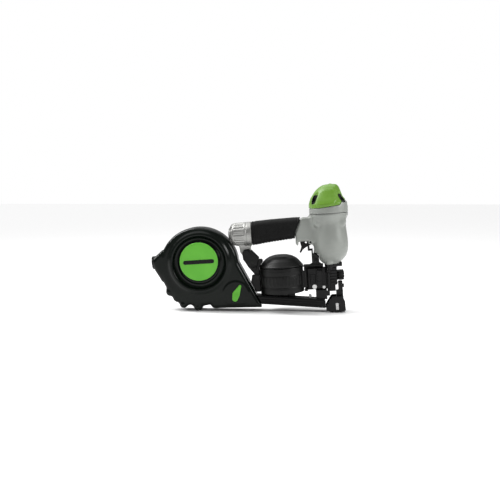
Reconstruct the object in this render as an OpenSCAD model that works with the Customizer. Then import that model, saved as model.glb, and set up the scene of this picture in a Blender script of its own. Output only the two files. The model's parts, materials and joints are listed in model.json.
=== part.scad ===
// Pneumatic cap nailer: a coil nailer whose round rear canister feeds plastic caps along a
// rail to the nose. Z is the driver axis, +X the front of the tool, and z = 0 is the face
// of the contact foot that meets the work. Millimetres.

/* [Body] */
// Length of the driver stroke
stroke = 95; // [80:1:98]
// Outside radius of the head and head cap
head_r = 40; // [39:0.5:41]
// Radius of the cylinder bore
bore_r = 18; // [17:0.5:18]
// Height of the top of the cast body
body_top = 205; // [205:1:206]

/* [Handle] */
// Height of the handle's centre line
handle_z = 176; // [175:1:177]
// Rear end of the grip
grip_rear_x = -161; // [-162:1:-160]
// Width of the grip
grip_w = 38; // [36:1:40]
// Radius of the air inlet's threaded hole
inlet_r = 5.6; // [5:0.1:6]

/* [Nose] */
// Radius of the driver channel in the nose
muzzle_r = 3.8; // [3.6:0.1:4]
// Travel of the contact foot
contact_travel = 8; // [6:0.5:8]
// Outside width of the contact foot
foot_w = 38; // [36:1:40]

/* [Nail magazine] */
// Radius of the nail canister
can_r = 46; // [44:1:46]
// Height of the nail canister's floor
can_floor_z = 47; // [47:0.5:48]

/* [Cap magazine] */
// Radius of the cap canister's round outline
drum_r = 83; // [80:1:84]
// Slope of the cap rail
rail_slope = 7; // [6.5:0.5:7]
// Radius of the disc on the canister door
disc_r = 39.8; // [38:0.2:44]

/* [Hidden] */
$fn = 64;
wall = 2.5;
gap = 0.3;

// Driver line, from the bottom up
nose_tip_z = 43;
nose_top_z = 100;
bumper_z = [102, 111];
piston_h = 8;
piston_z = bumper_z[1] + stroke;
blade_r = 3.2;
blade_tip_z = 8 + stroke;
sleeve_r = bore_r + 3;
sleeve_top_z = piston_z + piston_h + 1;
chamber_r = 29.5;
rear_x = -24.5;
head_cap_z = body_top + 1;
head_cap_rim_z = 217;
valve_z = sleeve_top_z + 1;
valve_h = 8;
valve_lift = 4;
dome_top_z = 250;
cover_top_z = 265.5;
head_bolts_xy = [for (sx = [-1, 1], sy = [-1, 1]) [27 * sx, 22 * sy]];
boss_top_z = 226;

// Nose flange bolts
flange_r = 15;
lug_x = -5.7;
lug_y = 18;
lug_r = 6.5;
flange_z = 94;

// Handle core: two cylinders and a slab, which make a stadium section
core_r = 13;
core_low_z = handle_z;
core_high_z = handle_z + 6;
core_bore_z = handle_z + 3;
block_x = [-71, -30];
block_z = [157, 198];

// End cap
end_x = -211;
end_r = 24.5;
end_z = 174;
end_lug_x = -176;
end_lug_z = 134;
inlet_x = -186;
inlet_y = 31;
inlet_z = 176;
inlet_l = 15;

// Trigger
trigger_pivot = [-41, 148.5];
trigger_pin_r = 2;
trigger_w = 16;
valve_x = -50;
arm_pivot = [-57.5, 150.8];

// Contact arm, dial and foot stem
stem_x = 17.5;
stem_top_z = 63;
stud_r = 3;
stud_top_z = 83;
yoke_low_z = [66, 69];
yoke_high_z = [82.8, 85.5];
dial_r = 7.5;
arm_y = [9, 12];
finger_x = [-47.6, -43.6];
riser_x = [-40.2, -37.2];
spring_xy = [-31.5, 12.2];
spring_seat_z = 113;
ledge_z = 95;

// Nail canister and feed guide
can_x = -105;
can_top_z = 100;
roof_curve = [[0, 126], [14, 125.6], [24, 123], [32, 118.5], [38, 113], [43, 106], [can_r, 100.3]];
split_y = -8.4;
cover_pin = [-56.5, -12.5];
guide_top_x = -17.6;
door_pin = [-8.5, -11.5];
door_lug_z = [48.5, 84];
latch_pin = [-11, 87];
feed_y = 20;
feed_z = 72;
feed_x = [-59.3, -36];
feed_bore_r = 8;
pin_r = 1.5;
pin_hole_r = 1.55;

// Cap rail, in its own sloping frame with x = 0 at the nose end
rail_origin = [-14, 0, 9];
rail_l = 150;
rail_clear = 13.4;
rail_w = 32;
rail_h = 18;
rib_z = can_floor_z - 0.4;
feeder_y = 25;
feeder_z = 9;

// Cap canister
drum_x = -276;
drum_z = 112;
disc_x = -274;
disc_z = 124;
lobe_r = 9;
lobes = [[217, drum_r - 0.5], [231, drum_r - 1.5], [243.2, drum_r + 3.1], [264.2, drum_r + 1.6]];
drum_split_y = -8.15;
drum_back_y = 22;
drum_front_y = -22;
hub_x = -277.7;
hub_z = 116;
hinge_x = -370.5;
hinge_z = 126;
knuckle_r = 7;
knuckle_h = 12;
latch_pivot = [-205.5, 42];

// ---------- shared shapes ----------

// A ring round Z between two radii
module ring(r_out, r_in, z0, z1) {
  translate([0, 0, z0]) difference() {
    cylinder(r = r_out, h = z1 - z0);
    translate([0, 0, -1]) cylinder(r = r_in, h = z1 - z0 + 2);
  }
}

// A box given by its corners
module box(x, y, z) {
  translate([x[0], y[0], z[0]]) cube([x[1] - x[0], y[1] - y[0], z[1] - z[0]]);
}

// A cylinder along X
module rod_x(r, x0, x1, y = 0, z = 0) {
  translate([x0, y, z]) rotate([0, 90, 0]) cylinder(r = r, h = x1 - x0);
}

// A cylinder along Y
module rod_y(r, y0, y1, x = 0, z = 0) {
  translate([x, y1, z]) rotate([90, 0, 0]) cylinder(r = r, h = y1 - y0);
}

// A cylinder along Z
module rod_z(r, z0, z1, x = 0, y = 0) {
  translate([x, y, z0]) cylinder(r = r, h = z1 - z0);
}

// An outline in the XZ plane, given thickness from y0 to y1
module plate_y(y0, y1) {
  translate([0, y1, 0]) rotate([90, 0, 0]) linear_extrude(height = y1 - y0) children();
}

// A compression spring along Z: a round wire swept along its helix
module coil_spring(r, wire_r, length, turns) {
  steps = turns * 12;
  sides = 6;
  function at(i) = let (a = 360 * turns * i / steps, z = wire_r + (length - 2 * wire_r) * i / steps)
    [r * cos(a), r * sin(a), z];
  function rim(i, j) = let (a = 360 * turns * i / steps, b = 360 * j / sides)
    at(i) + wire_r * [cos(b) * cos(a), cos(b) * sin(a), sin(b)];
  points = [for (i = [0:steps], j = [0:sides - 1]) rim(i, j)];
  skin = [for (i = [0:steps - 1], j = [0:sides - 1])
    let (k = (j + 1) % sides, a = i * sides, b = a + sides)
    each [[a + j, a + k, b + k], [a + j, b + k, b + j]]];
  start = [[for (j = [0:sides - 1]) sides - 1 - j]];
  finish = [[for (j = [0:sides - 1]) steps * sides + j]];
  polyhedron(points = points, faces = concat(skin, start, finish), convexity = 4);
}

module rail_frame() {
  translate(rail_origin) rotate([0, rail_slope, 0]) children();
}

// ---------- head ----------

module body_outside() {
  rotate_extrude() polygon([
    [0, nose_top_z], [flange_r, nose_top_z], [18, 103], [29, 112], [35, 122], [36.5, 135],
    [36.5, 152], [34.5, 172], [34.5, 188], [head_r - 1, 197], [head_r, 201], [head_r, body_top],
    [0, body_top]
  ]);
}

module body_cavity() {
  rotate_extrude() polygon([
    [0, nose_top_z - 1], [8, nose_top_z - 1], [8, bumper_z[0]], [14.2, bumper_z[0]],
    [14.2, bumper_z[1]], [sleeve_r + 0.2, bumper_z[1]], [sleeve_r + 0.2, 124], [chamber_r, 128],
    [chamber_r, body_top + 1], [0, body_top + 1]
  ]);
}

// Flat behind the foot of the barrel, which makes room for the contact arm and the feed
module rear_cut() {
  polygon([[-60, 90], [rear_x, 90], [rear_x, 121], [-38, 128.5], [-60, 128.5]]);
}

module core_solid(grow, x0, x1) {
  rod_x(core_r + grow, x0, x1, 0, core_low_z);
  rod_x(core_r + grow, x0, x1, 0, core_high_z);
  box([x0, x1], [-core_r - grow, core_r + grow], [core_low_z, core_high_z]);
}

module body_housing() color([0.62, 0.64, 0.62]) difference() {
  union() {
    difference() {
      body_outside();
      plate_y(-head_r, head_r) rear_cut();
    }
    for (p = head_bolts_xy) rod_z(6.5, 180, body_top, p[0], p[1]);
    for (s = [-1, 1]) rod_z(lug_r, nose_top_z, 118, lug_x, s * lug_y);
    rod_z(4, spring_seat_z, 128, spring_xy[0], spring_xy[1]);
    core_solid(0, grip_rear_x + 0.3, -30);
    box(block_x, [-16, 16], block_z);
    for (s = [-1, 1]) box([-71, -34], s > 0 ? [9.6, 16] : [-16, -9.6], [151, block_z[0] + 0.1]);
    box([-71.5, -67], [-16, 16], [143, block_z[0] + 0.1]);
    for (s = [-1, 1]) box([-46, -33], s > 0 ? [9.6, 13] : [-13, -9.6], [144, 152]);
  }
  body_cavity();
  for (p = head_bolts_xy) rod_z(2.6, 188, body_top + 1, p[0], p[1]);
  for (s = [-1, 1]) rod_z(2.6, nose_top_z - 1, 109, lug_x, s * lug_y);
  rod_x(9, grip_rear_x - 1, -28, 0, core_bore_z);
  rod_z(7.1, block_z[0] - 1, 172, valve_x, 0);
  rod_y(trigger_pin_r + 0.05, -20, 20, trigger_pivot[0], trigger_pivot[1]);
}

module head_gasket() color([0.1, 0.1, 0.1]) difference() {
  ring(head_r - 0.5, chamber_r, body_top, head_cap_z);
  for (p = head_bolts_xy) rod_z(2.8, body_top - 1, head_cap_z + 1, p[0], p[1]);
}

module head_cap() color([0.68, 0.69, 0.68]) difference() {
  union() {
    rod_z(head_r, head_cap_z, head_cap_rim_z);
    rod_z(30, head_cap_rim_z - 1, 240);
    rod_z(20, 239, dome_top_z);
    for (p = head_bolts_xy) rod_z(6.5, head_cap_z, boss_top_z, p[0], p[1]);
  }
  rod_z(chamber_r - 2, head_cap_z - 1, 231);
  rod_z(12, 230, 246);
  for (p = head_bolts_xy) rod_z(2.6, head_cap_z - 1, boss_top_z + 1, p[0], p[1]);
  for (s = [-1, 1]) box([14, 45], s > 0 ? [2, 11] : [-11, -2], [219, 226]);
}

// Green cover: a dome that leans to the front, cut back round the four bolts
module top_cover() color([0.47, 0.72, 0.2]) difference() {
  hull() {
    rod_z(39.6, head_cap_rim_z, 226, $fn = 48);
    translate([-2.5, 0, 238]) cylinder(r = 31.5, h = 1, $fn = 40);
    translate([0.5, 0, 251]) cylinder(r = 24.5, h = 1, $fn = 32);
    translate([3, 0, 258.5]) cylinder(r = 18.5, h = 1, $fn = 32);
    translate([7, 0, cover_top_z - 1]) cylinder(r = 9, h = 1, $fn = 24);
  }
  rod_z(30.3, head_cap_rim_z - 1, 240.3);
  rod_z(20.3, 239, dome_top_z + 0.3);
  for (p = head_bolts_xy) rod_z(8, head_cap_rim_z - 1, cover_top_z, p[0], p[1]);
  for (s = [-1, 1]) box([22, 45], s > 0 ? [2, 11] : [-11, -2], [219, 226]);
}

module head_bolts() color([0.2, 0.2, 0.21]) for (p = head_bolts_xy) translate([p[0], p[1], 0]) difference() {
  union() {
    rod_z(4.5, boss_top_z, boss_top_z + 5);
    rod_z(2.5, 190, boss_top_z);
  }
  rod_z(2, boss_top_z + 2, boss_top_z + 6, $fn = 6);
}

module head_valve() color([0.75, 0.75, 0.72]) difference() {
  union() {
    rod_z(chamber_r - 2.3, valve_z, valve_z + valve_h);
    rod_z(6, valve_z + valve_h, valve_z + valve_h + 1.5);
  }
  ring(chamber_r, chamber_r - 4, valve_z + 3, valve_z + 5);
}

module head_valve_seal() color([0.12, 0.12, 0.12]) ring(sleeve_r, bore_r, sleeve_top_z + 0.2, valve_z);

module head_valve_spring() color([0.7, 0.7, 0.72])
  translate([0, 0, valve_z + valve_h]) coil_spring(8.5, 1, 246 - valve_z - valve_h, 5);

// ---------- cylinder and driver ----------

module cylinder_sleeve() color([0.78, 0.78, 0.76]) difference() {
  union() {
    ring(sleeve_r, bore_r, bumper_z[1] + 0.2, sleeve_top_z);
    ring(chamber_r - 0.15, sleeve_r - 0.5, 196, 202);
  }
  for (a = [0:45:315]) rotate([0, 0, a]) rod_x(1.6, bore_r - 2, sleeve_r + 1, 0, 131);
  ring(chamber_r + 1, chamber_r - 1.65, 198, 200);
  ring(sleeve_r + 1, sleeve_r - 1, 113, 115);
}

module sleeve_seals() color([0.12, 0.12, 0.12]) {
  ring(chamber_r - 0.05, chamber_r - 1.6, 198.02, 199.98);
  ring(sleeve_r + 0.15, sleeve_r - 0.95, 113.02, 114.98);
}

module piston() color([0.72, 0.72, 0.7]) difference() {
  rod_z(bore_r - 0.15, piston_z, piston_z + piston_h);
  ring(bore_r + 1, bore_r - 1.8, piston_z + 3, piston_z + 5);
  rod_z(10, piston_z + 6, piston_z + piston_h + 1);
}

module piston_ring() color([0.12, 0.12, 0.12])
  ring(bore_r - 0.05, bore_r - 1.8, piston_z + 3, piston_z + 5);

module driver_blade() color([0.6, 0.6, 0.62]) rod_z(blade_r, blade_tip_z, piston_z);

module bumper() color([0.15, 0.15, 0.16]) ring(14, blade_r + 1.4, bumper_z[0] + 0.1, bumper_z[1]);

// ---------- handle ----------

// A rounded section of the grip at one x
module grip_section(x, z0, z1) {
  r = 11;
  for (y = [-grip_w / 2 + r, grip_w / 2 - r], z = [z0 + r, z1 - r]) rod_x(r, x, x + 1, y, z, $fn = 32);
}

module grip_sleeve() color([0.07, 0.07, 0.07]) difference() {
  hull() {
    grip_section(grip_rear_x, 149, 198.5);
    grip_section(-120, 152.5, 200.5);
    grip_section(-74, 157.5, 201);
  }
  core_solid(0.15, grip_rear_x - 1, -60);
}

module end_cap() color([0.7, 0.7, 0.68]) difference() {
  union() {
    rod_x(end_r, -203, grip_rear_x - 1, 0, end_z);
    translate([end_x, 0, end_z]) rotate([0, 90, 0]) cylinder(r1 = 18, r2 = end_r, h = 8.01);
    box([-188, -165.5], [-7, 7], [end_lug_z - 8, end_z - 10]);
    rod_y(8, -7, 7, end_lug_x, end_lug_z);
    rod_y(inlet_r + 4.4, 14, inlet_y, inlet_x, inlet_z);
  }
  rod_x(10, -196, grip_rear_x, 0, core_bore_z - 2);
  rod_y(drum_r + 1, -30, 30, drum_x, drum_z);
  rod_y(inlet_r, inlet_y - inlet_l - 0.01, inlet_y + 1, inlet_x, inlet_z);
  rod_y(inlet_r + 0.8, 4, inlet_y - inlet_l, inlet_x, inlet_z);
  rod_y(3.1, -8, 8, end_lug_x, end_lug_z);
  for (p = end_bolt_yz()) rod_x(2.1, -205, grip_rear_x, p[0], p[1]);
  for (p = end_bolt_yz()) rod_x(4.2, end_x - 1, -199, p[0], p[1]);
}

function end_bolt_yz() = [for (a = [45:90:315]) [17 * cos(a), end_z + 17 * sin(a)]];

module end_cap_gasket() color([0.1, 0.1, 0.1]) difference() {
  rod_x(end_r - 1, grip_rear_x - 1, grip_rear_x, 0, end_z);
  rod_x(9.5, grip_rear_x - 2, grip_rear_x + 1, 0, core_bore_z);
  for (p = end_bolt_yz()) rod_x(2.3, grip_rear_x - 2, grip_rear_x + 1, p[0], p[1]);
}

module end_cap_bolts() color([0.2, 0.2, 0.21])
  for (p = end_bolt_yz()) {
    rod_x(2, -199, grip_rear_x - 1, p[0], p[1]);
    rod_x(3.8, -203, -199, p[0], p[1]);
  }

module inlet_filter() color([0.6, 0.5, 0.25]) difference() {
  rod_x(9.9, -177, -167, 0, core_bore_z - 2);
  rod_x(7, -176, -166, 0, core_bore_z - 2);
}

// ---------- trigger ----------

module trigger_outline() {
  polygon([
    [-37.8, 146], [-37.8, 151], [-41, 152], [-60, 152], [-62.5, 148], [-59.8, 139],
    [-64.5, 128.5], [-62.3, 126.8], [-55.5, 134], [-42, 141.5]
  ]);
}

module trigger() color([0.05, 0.05, 0.05]) difference() {
  plate_y(-trigger_w / 2, trigger_w / 2) trigger_outline();
  box([-49.5, -34], [-4.5, 4.5], [130, 160]);
  box([-60, -34], [-4.5, 4.5], [144, 160]);
  rod_y(trigger_pin_r + 0.05, -20, 20, trigger_pivot[0], trigger_pivot[1]);
  rod_y(1.25, -6.6, 6.6, arm_pivot[0], arm_pivot[1]);
  rod_y(2.3, -20, 20, -50.5, 147.6);
}

module trigger_pin() color([0.15, 0.15, 0.16])
  rod_y(trigger_pin_r, -13.5, 13.5, trigger_pivot[0], trigger_pivot[1]);

module trigger_arm() color([0.35, 0.35, 0.36]) {
  box([-59, -44.2], [-3, 3], [150.2, 152.2]);
  rod_y(1.2, -6.5, 6.5, arm_pivot[0], arm_pivot[1]);
}

module trigger_valve_body() color([0.55, 0.5, 0.35]) difference() {
  rod_z(7, block_z[0], 171.5, valve_x, 0);
  rod_z(2.6, block_z[0] - 1, 164, valve_x, 0);
  rod_z(4.6, 163, 170, valve_x, 0);
}

module valve_plunger() color([0.7, 0.7, 0.7]) {
  rod_z(2.5, 153.4, 165, valve_x, 0);
  rod_z(4, 164.2, 166, valve_x, 0);
}

module plunger_spring() color([0.7, 0.7, 0.72])
  translate([valve_x, 0, 166]) coil_spring(2.8, 0.5, 4, 3);

// ---------- nose, contact arm and foot ----------

module nose_guide() color([0.09, 0.09, 0.09]) difference() {
  union() {
    rod_z(flange_r, flange_z, nose_top_z);
    box([lug_x - lug_r, lug_x + lug_r], [-lug_y, lug_y], [flange_z, nose_top_z]);
    for (s = [-1, 1]) rod_z(lug_r, flange_z, nose_top_z, lug_x, s * lug_y);
    box([-9, 9.5], [-8.5, 8.5], [56, flange_z + 1]);
    box([-9, 5.4], [-7, 7], [nose_tip_z, 56.1]);
    box([-12, -5], [-14, -6.9], [door_lug_z[0] - 4.5, door_lug_z[0]]);
    box([-12, -5], [-14, -8.4], [door_lug_z[1], door_lug_z[1] + 4.7]);
  }
  rod_z(pin_hole_r, 40, 90, door_pin[0], door_pin[1]);
  rod_z(muzzle_r, nose_tip_z - 1, nose_top_z + 1);
  box([-16, 0], [-1.9, 1.9], [52, nose_top_z - 1.5]);
  box([-16, 0], [-muzzle_r, muzzle_r], [89, nose_top_z - 1.5]);
  for (s = [-1, 1]) rod_z(2.6, flange_z - 1, nose_top_z + 1, lug_x, s * lug_y);
}

module nose_bolts() color([0.6, 0.6, 0.62]) for (s = [-1, 1]) translate([lug_x, s * lug_y, 0]) difference() {
  union() {
    rod_z(2.5, flange_z, 108);
    rod_z(4.4, flange_z - 5, flange_z);
  }
  rod_z(2, flange_z - 6, flange_z - 2, $fn = 6);
}

module nose_guard() color([0.07, 0.07, 0.07]) difference() {
  box([10, 21.5], [-8, 8], [flange_z + 0.2, 103]);
  rod_z(flange_r + 0.2, flange_z - 1, 100.1);
  translate([0, 0, 100]) cylinder(r1 = flange_r + 0.3, r2 = 18.3, h = 3.01);
}

// Steel strip from the depth dial, along the back of the nose, up to the trigger
module contact_arm() color([0.12, 0.12, 0.13]) difference() {
  union() {
    plate_y(arm_y[0], arm_y[1]) polygon([
      [23.5, yoke_low_z[0]], [23.5, yoke_high_z[1]], [-12, yoke_high_z[1]], [-24, ledge_z],
      [riser_x[1], ledge_z], [riser_x[1], 115], [riser_x[0], 115], [riser_x[0], 88],
      [riser_x[0] + 3, 85], [-20, 85], [-12, yoke_low_z[0]]
    ]);
    for (z = [yoke_low_z, yoke_high_z]) box([10.5, 23.5], [-7, arm_y[1]], z);
    box(riser_x, [-3.5, arm_y[1]], [112, 115]);
    box(riser_x, [-3.5, 3.5], [112, 134]);
    box([finger_x[0], riser_x[1]], [-3.5, 3.5], [130, 134]);
    box(finger_x, [-3.5, 3.5], [130, 139.5]);
    rod_z(3.6, ledge_z - 2, ledge_z, spring_xy[0], spring_xy[1]);
  }
  rod_z(stud_r + 0.3, 60, 90, stem_x, 0);
}

module contact_spring() color([0.7, 0.7, 0.72])
  translate([spring_xy[0], spring_xy[1], ledge_z])
    coil_spring(2.7, 0.45, spring_seat_z - ledge_z, 5);

module depth_dial() color([0.08, 0.08, 0.08]) difference() {
  rod_z(dial_r, yoke_low_z[1] + 0.4, yoke_high_z[0] - 0.4, stem_x, 0);
  rod_z(stud_r + 0.05, 60, 90, stem_x, 0);
  for (a = [0:30:330]) translate([stem_x, 0, 0]) rotate([0, 0, a]) rod_z(0.9, 60, 90, dial_r + 0.2, 0);
}

module adjuster_stud() color([0.6, 0.6, 0.62]) rod_z(stud_r, stem_top_z, stud_top_z, stem_x, 0);

module contact_foot() color([0.08, 0.08, 0.08]) {
  difference() {
    plate_y(-foot_w / 2, foot_w / 2) polygon([
      [-17, 5], [-6, 0], [19.5, 0], [23, 3], [22.5, 22], [19.3, 27], [16, 33], [-3, 33],
      [-8, 27], [-17, 13]
    ]);
    box([-20, 14.8], [-14.5, 14.5], [-1, 40]);
    box([3, 9], [-30, 30], [4, 19]);
  }
  box([6, 20], [-6, 6], [26.5, 44.5]);
  box([11, 20], [-6, 6], [44, stem_top_z]);
  box([14.8, 20], [-14.5, 14.5], [26, 33]);
  rod_x(4, 19.5, 23, 0, 53);
}

// Sprung clip that holds the cap under the driver
module cap_retainer() color([0.75, 0.75, 0.77]) difference() {
  union() {
    for (s = [-1, 1]) box([1, 11], s > 0 ? [13.4, 14.4] : [-14.4, -13.4], [5, 20]);
    box([9.5, 11], [-14.4, 14.4], [17, 20]);
  }
  rod_z(5.5, 10, 25);
}

// ---------- nail feed ----------

module feed_guide() color([0.08, 0.08, 0.08]) difference() {
  union() {
    box([-58, -9.3], [4, 8], [can_floor_z, flange_z - 0.3]);
    box([-58, guide_top_x], [4, 8], [flange_z - 1, 99]);
    box([-58, guide_top_x], [-12, 8], [98.5, 101.5]);
    plate_y(-12, -5) polygon([
      [-52, 98.6], [-38.5, 106.5], [-37.5, 123.5], [-36, 126.4], [rear_x - 0.7, 120.4],
      [rear_x - 0.7, 106], [-19, 101.5], [-19, 98.6]
    ]);
    rod_z(4, 98.5, 101.5, cover_pin[0], cover_pin[1]);
    box([-58.9, -52.5], [-15, 8], [can_floor_z, 50]);
  }
  box([-36, -12], [3, 9], [68, 76]);
  rod_z(pin_hole_r, 40, 110, cover_pin[0], cover_pin[1]);
}

module feed_cylinder() color([0.1, 0.1, 0.1]) difference() {
  union() {
    rod_x(11, feed_x[0], feed_x[1], feed_y, feed_z);
    box([-56, -38], [8, feed_y], [66, 78]);
  }
  rod_x(feed_bore_r, feed_x[0] + wall, feed_x[1] - wall, feed_y, feed_z);
  rod_x(3.1, feed_x[1] - wall - 1, feed_x[1] + 1, feed_y, feed_z);
}

module feed_piston() color([0.7, 0.7, 0.7]) {
  rod_x(feed_bore_r - 0.1, -44, -39, feed_y, feed_z);
  rod_x(3, -39, -25, feed_y, feed_z);
}

module feed_pawl() color([0.5, 0.5, 0.52]) box([-25, -19], [1.5, 24], [69, 75]);

module feed_spring() color([0.7, 0.7, 0.72])
  translate([feed_x[0] + wall, feed_y, feed_z]) rotate([0, 90, 0])
    coil_spring(5.5, 0.7, -44 - feed_x[0] - wall, 4);

module guide_door() color([0.08, 0.08, 0.08]) difference() {
  union() {
    difference() {
      box([-51, -10.2], [-8, -4.3], [50.3, 93]);
      box([-14.5, -9], [-9, -3], [door_lug_z[1] - 0.5, 94]);
    }
    box([-13, -10.4], [-11.5, -7.9], [door_lug_z[0] + 0.5, door_lug_z[1] - 0.5]);
    rod_z(3, door_lug_z[0] + 0.5, door_lug_z[1] - 0.5, door_pin[0], door_pin[1]);
    for (x = [-33, -22.2]) box([x, x + 1.2], [-13.5, -7.9], [83, 91]);
    box([-46, -36], [-9, -7.9], [60, 80]);
  }
  rod_z(pin_hole_r, 40, 90, door_pin[0], door_pin[1]);
  rod_x(1.25, -34, -20, latch_pin[0], latch_pin[1]);
}

module guide_door_pin() color([0.6, 0.6, 0.62]) rod_z(pin_r, 44.5, door_lug_z[1] + 4.5, door_pin[0], door_pin[1]);

module door_latch() color([0.08, 0.08, 0.08]) {
  rod_x(2.4, -31.5, -22.5, latch_pin[0], latch_pin[1]);
  rod_x(1.2, -33, -21, latch_pin[0], latch_pin[1]);
  box([-31.5, -22.5], [-12.6, -10.4], [62, latch_pin[1]]);
  box([-31.5, -22.5], [-14.6, -10.4], [60, 65]);
  box([-31.5, -22.5], [-10.5, -8.4], [60, 62.5]);
}

module guide_screws() color([0.75, 0.75, 0.76]) for (p = [[-38.2, 54.7, 4.6], [-18.8, 53, 3]]) {
  rod_y(p[2], -10, -8, p[0], p[1]);
}

// ---------- nail magazine ----------

module can_shell(r_out, r_in, z0, z1) {
  translate([can_x, 0, 0]) difference() {
    rod_z(r_out, z0, z1);
    rod_z(r_in, z0 + wall, z1 + 1);
  }
}

module magazine_base() color([0.07, 0.07, 0.07]) difference() {
  can_shell(can_r, can_r - wall, can_floor_z, can_top_z);
  box([can_x - 60, can_x + 60], [-60, split_y + 0.2], [0, 140]);
  box([can_x + 30, can_x + 60], [-20, 8.2], [can_floor_z + wall, 101]);
  box([-59.3, -50], [-20, 8.2], [40, 101]);
}

module magazine_post_holes() {
  rod_z(4.2, 40, 140, can_x, 0);
}

module magazine_roof() color([0.1, 0.1, 0.1]) difference() {
  union() {
    translate([can_x, 0, 0]) rotate_extrude() polygon([
      [0, 123.5], each roof_curve, [can_r - 3, roof_curve[6][1]], [40.5, 104.5], [36, 111],
      [30.5, 116.3], [23, 120.6], [14, 123.1]
    ]);
    rod_z(4, can_floor_z + wall, 124.5, can_x, 0);
  }
}

module magazine_cover() color([0.07, 0.07, 0.07]) difference() {
  union() {
    difference() {
      can_shell(can_r, can_r - wall, can_floor_z, can_top_z - 0.4);
      box([can_x - 60, can_x + 60], [split_y - 0.2, 60], [0, 140]);
    }
    rod_z(3.2, 55, 90, cover_pin[0], cover_pin[1]);
    box([-62, cover_pin[0]], [-14.8, -12.2], [55, 90]);
  }
  translate([can_x, 0, 0]) rod_z(can_r - wall, can_floor_z + wall, 120);
  rod_z(pin_hole_r, 40, 100, cover_pin[0], cover_pin[1]);
}

module magazine_cover_pin() color([0.6, 0.6, 0.62]) rod_z(pin_r, can_floor_z, 101.5, cover_pin[0], cover_pin[1]);

module nail_platform() color([0.75, 0.72, 0.6]) difference() {
  rod_z(40, 54, 56, can_x, 0);
  magazine_post_holes();
  box([-72, -60], [-8, 8], [50, 60]);
}

module magazine_arm() color([0.07, 0.07, 0.07]) difference() {
  union() {
    plate_y(-7.6, 7.6) polygon([
      [-165.5, 120], [-144, 119], [-140, 105], [-146, 84], [-157, 82], [-174, 104], [-179, 113]
    ]);
    plate_y(-7.6, 7.6) polygon([
      [-148, 86.4], [-167.5, 86.4], [-170.5, 71.5], [-161.3, 50.6], [-148, 50]
    ]);
    for (s = [-1, 1]) plate_y(s > 0 ? 7.4 : -11, s > 0 ? 11 : -7.4) polygon([
      [-164.5, 138], [-150, 122], [-158, 98], [-168, 97], [-183.5, 121], [-184.5, 134], [-180, 141], [-170, 142]
    ]);
  }
  translate([can_x, 0, 0]) roof_clearance();
  rod_y(3.1, -20, 20, end_lug_x, end_lug_z);
}

// The canister's outside, grown a little, which the arm fits against
module roof_clearance() {
  grow = 0.2;
  rotate_extrude() polygon([
    [0, 40], [can_r + grow, 40], [can_r + grow, 100.5],
    for (i = [5:-1:0]) [roof_curve[i][0] + (i > 0 ? grow : 0), roof_curve[i][1] + grow]
  ]);
}

module arm_bolt() color([0.6, 0.6, 0.62]) {
  rod_y(3, -11, 11, end_lug_x, end_lug_z);
  rod_y(5, -14, -11, end_lug_x, end_lug_z);
  rod_y(5, 11, 15, end_lug_x, end_lug_z, $fn = 6);
}

// ---------- cap rail and cap feed ----------

module throat_cut() {
  plate_y(-30, 30) polygon([[-260, 164], [-215.7, 164], [-150.3, 27], [-150.3, 0], [-260, 0]]);
}

module cap_rail() color([0.06, 0.06, 0.06]) difference() {
  rail_frame() {
    difference() {
      box([-rail_l, -5], [-rail_w / 2, rail_w / 2], [0, rail_h - 2]);
      box([-rail_l - 1, -4], [-rail_clear, rail_clear], [wall, rail_h]);
    }
    box([-5.5, 0.8], [-10, 10], [0, wall]);
  }
  throat_cut();
}

module rail_cover() color([0.06, 0.06, 0.06]) difference() {
  union() {
    rail_frame() difference() {
      box([-rail_l, -6], [-rail_w / 2, rail_w / 2], [rail_h - 2, rail_h]);
      box([-76, -30], [-3, 3], [0, 30]);
    }
    plate_y(-8, 8) polygon([[-150, 42.9], [-150, rib_z], [-82, rib_z], [-79.5, rib_z - 4], [-79.5, 34.5]]);
  }
  throat_cut();
}

module rail_bracket() color([0.07, 0.07, 0.07]) difference() {
  union() {
    box([-36, -13], [-10, 10], [20, can_floor_z - 0.2]);
    box([-14, -7], [-8, 8], [34, nose_tip_z - 0.4]);
  }
  rail_frame() box([-60, 20], [-20, 20], [-20, rail_h]);
}

module cap_feed_cylinder() color([0.1, 0.1, 0.1]) rail_frame() difference() {
  union() {
    rod_x(8, -122, -72, feeder_y, feeder_z);
    box([-112, -84], [rail_w / 2, feeder_y], [5, 13]);
  }
  rod_x(6, -119, -71, feeder_y, feeder_z);
}

module cap_feed_claw() color([0.6, 0.6, 0.62]) rail_frame() {
  rod_x(5.9, -86, -80, feeder_y, feeder_z);
  rod_x(2.5, -80, -39, feeder_y, feeder_z);
  box([-40, -34], [21, 28.5], [5, 21]);
  box([-40, -34], [-2, 21.1], [18.4, 21]);
  box([-40, -36], [-2, 2], [9, 18.5]);
}

// ---------- cap canister ----------

// Round drum with a straight throat down to the rail, finger lobes along the lower left, and the hinge lobe
module drum_outline(shrink) {
  translate([drum_x, drum_z]) circle(r = drum_r - shrink, $fn = 96);
  polygon([
    [-216 - shrink, 164 - shrink], [-150.6 - shrink, 27 + shrink / 3], [-150.6 - shrink, 19 + shrink],
    [-245, 22.5 + shrink], [-300, 60], [-280, 150]
  ]);
}

module drum_lobes() {
  for (p = lobes) translate([drum_x + p[1] * cos(p[0]), drum_z + p[1] * sin(p[0])]) circle(r = lobe_r);
  translate([-248, 31.2]) circle(r = lobe_r);
  polygon([[-352, 150], [-376, 133], [-378.2, 126], [-376, 119], [-356, 88], [-330, 120]]);
}

module hinge_zone(z0, z1, grow) {
  rod_z(knuckle_r + grow, z0, z1, hinge_x, drum_split_y);
}

module canister_base() color([0.06, 0.06, 0.06]) {
  canister_shell();
  canister_post();
}

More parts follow.
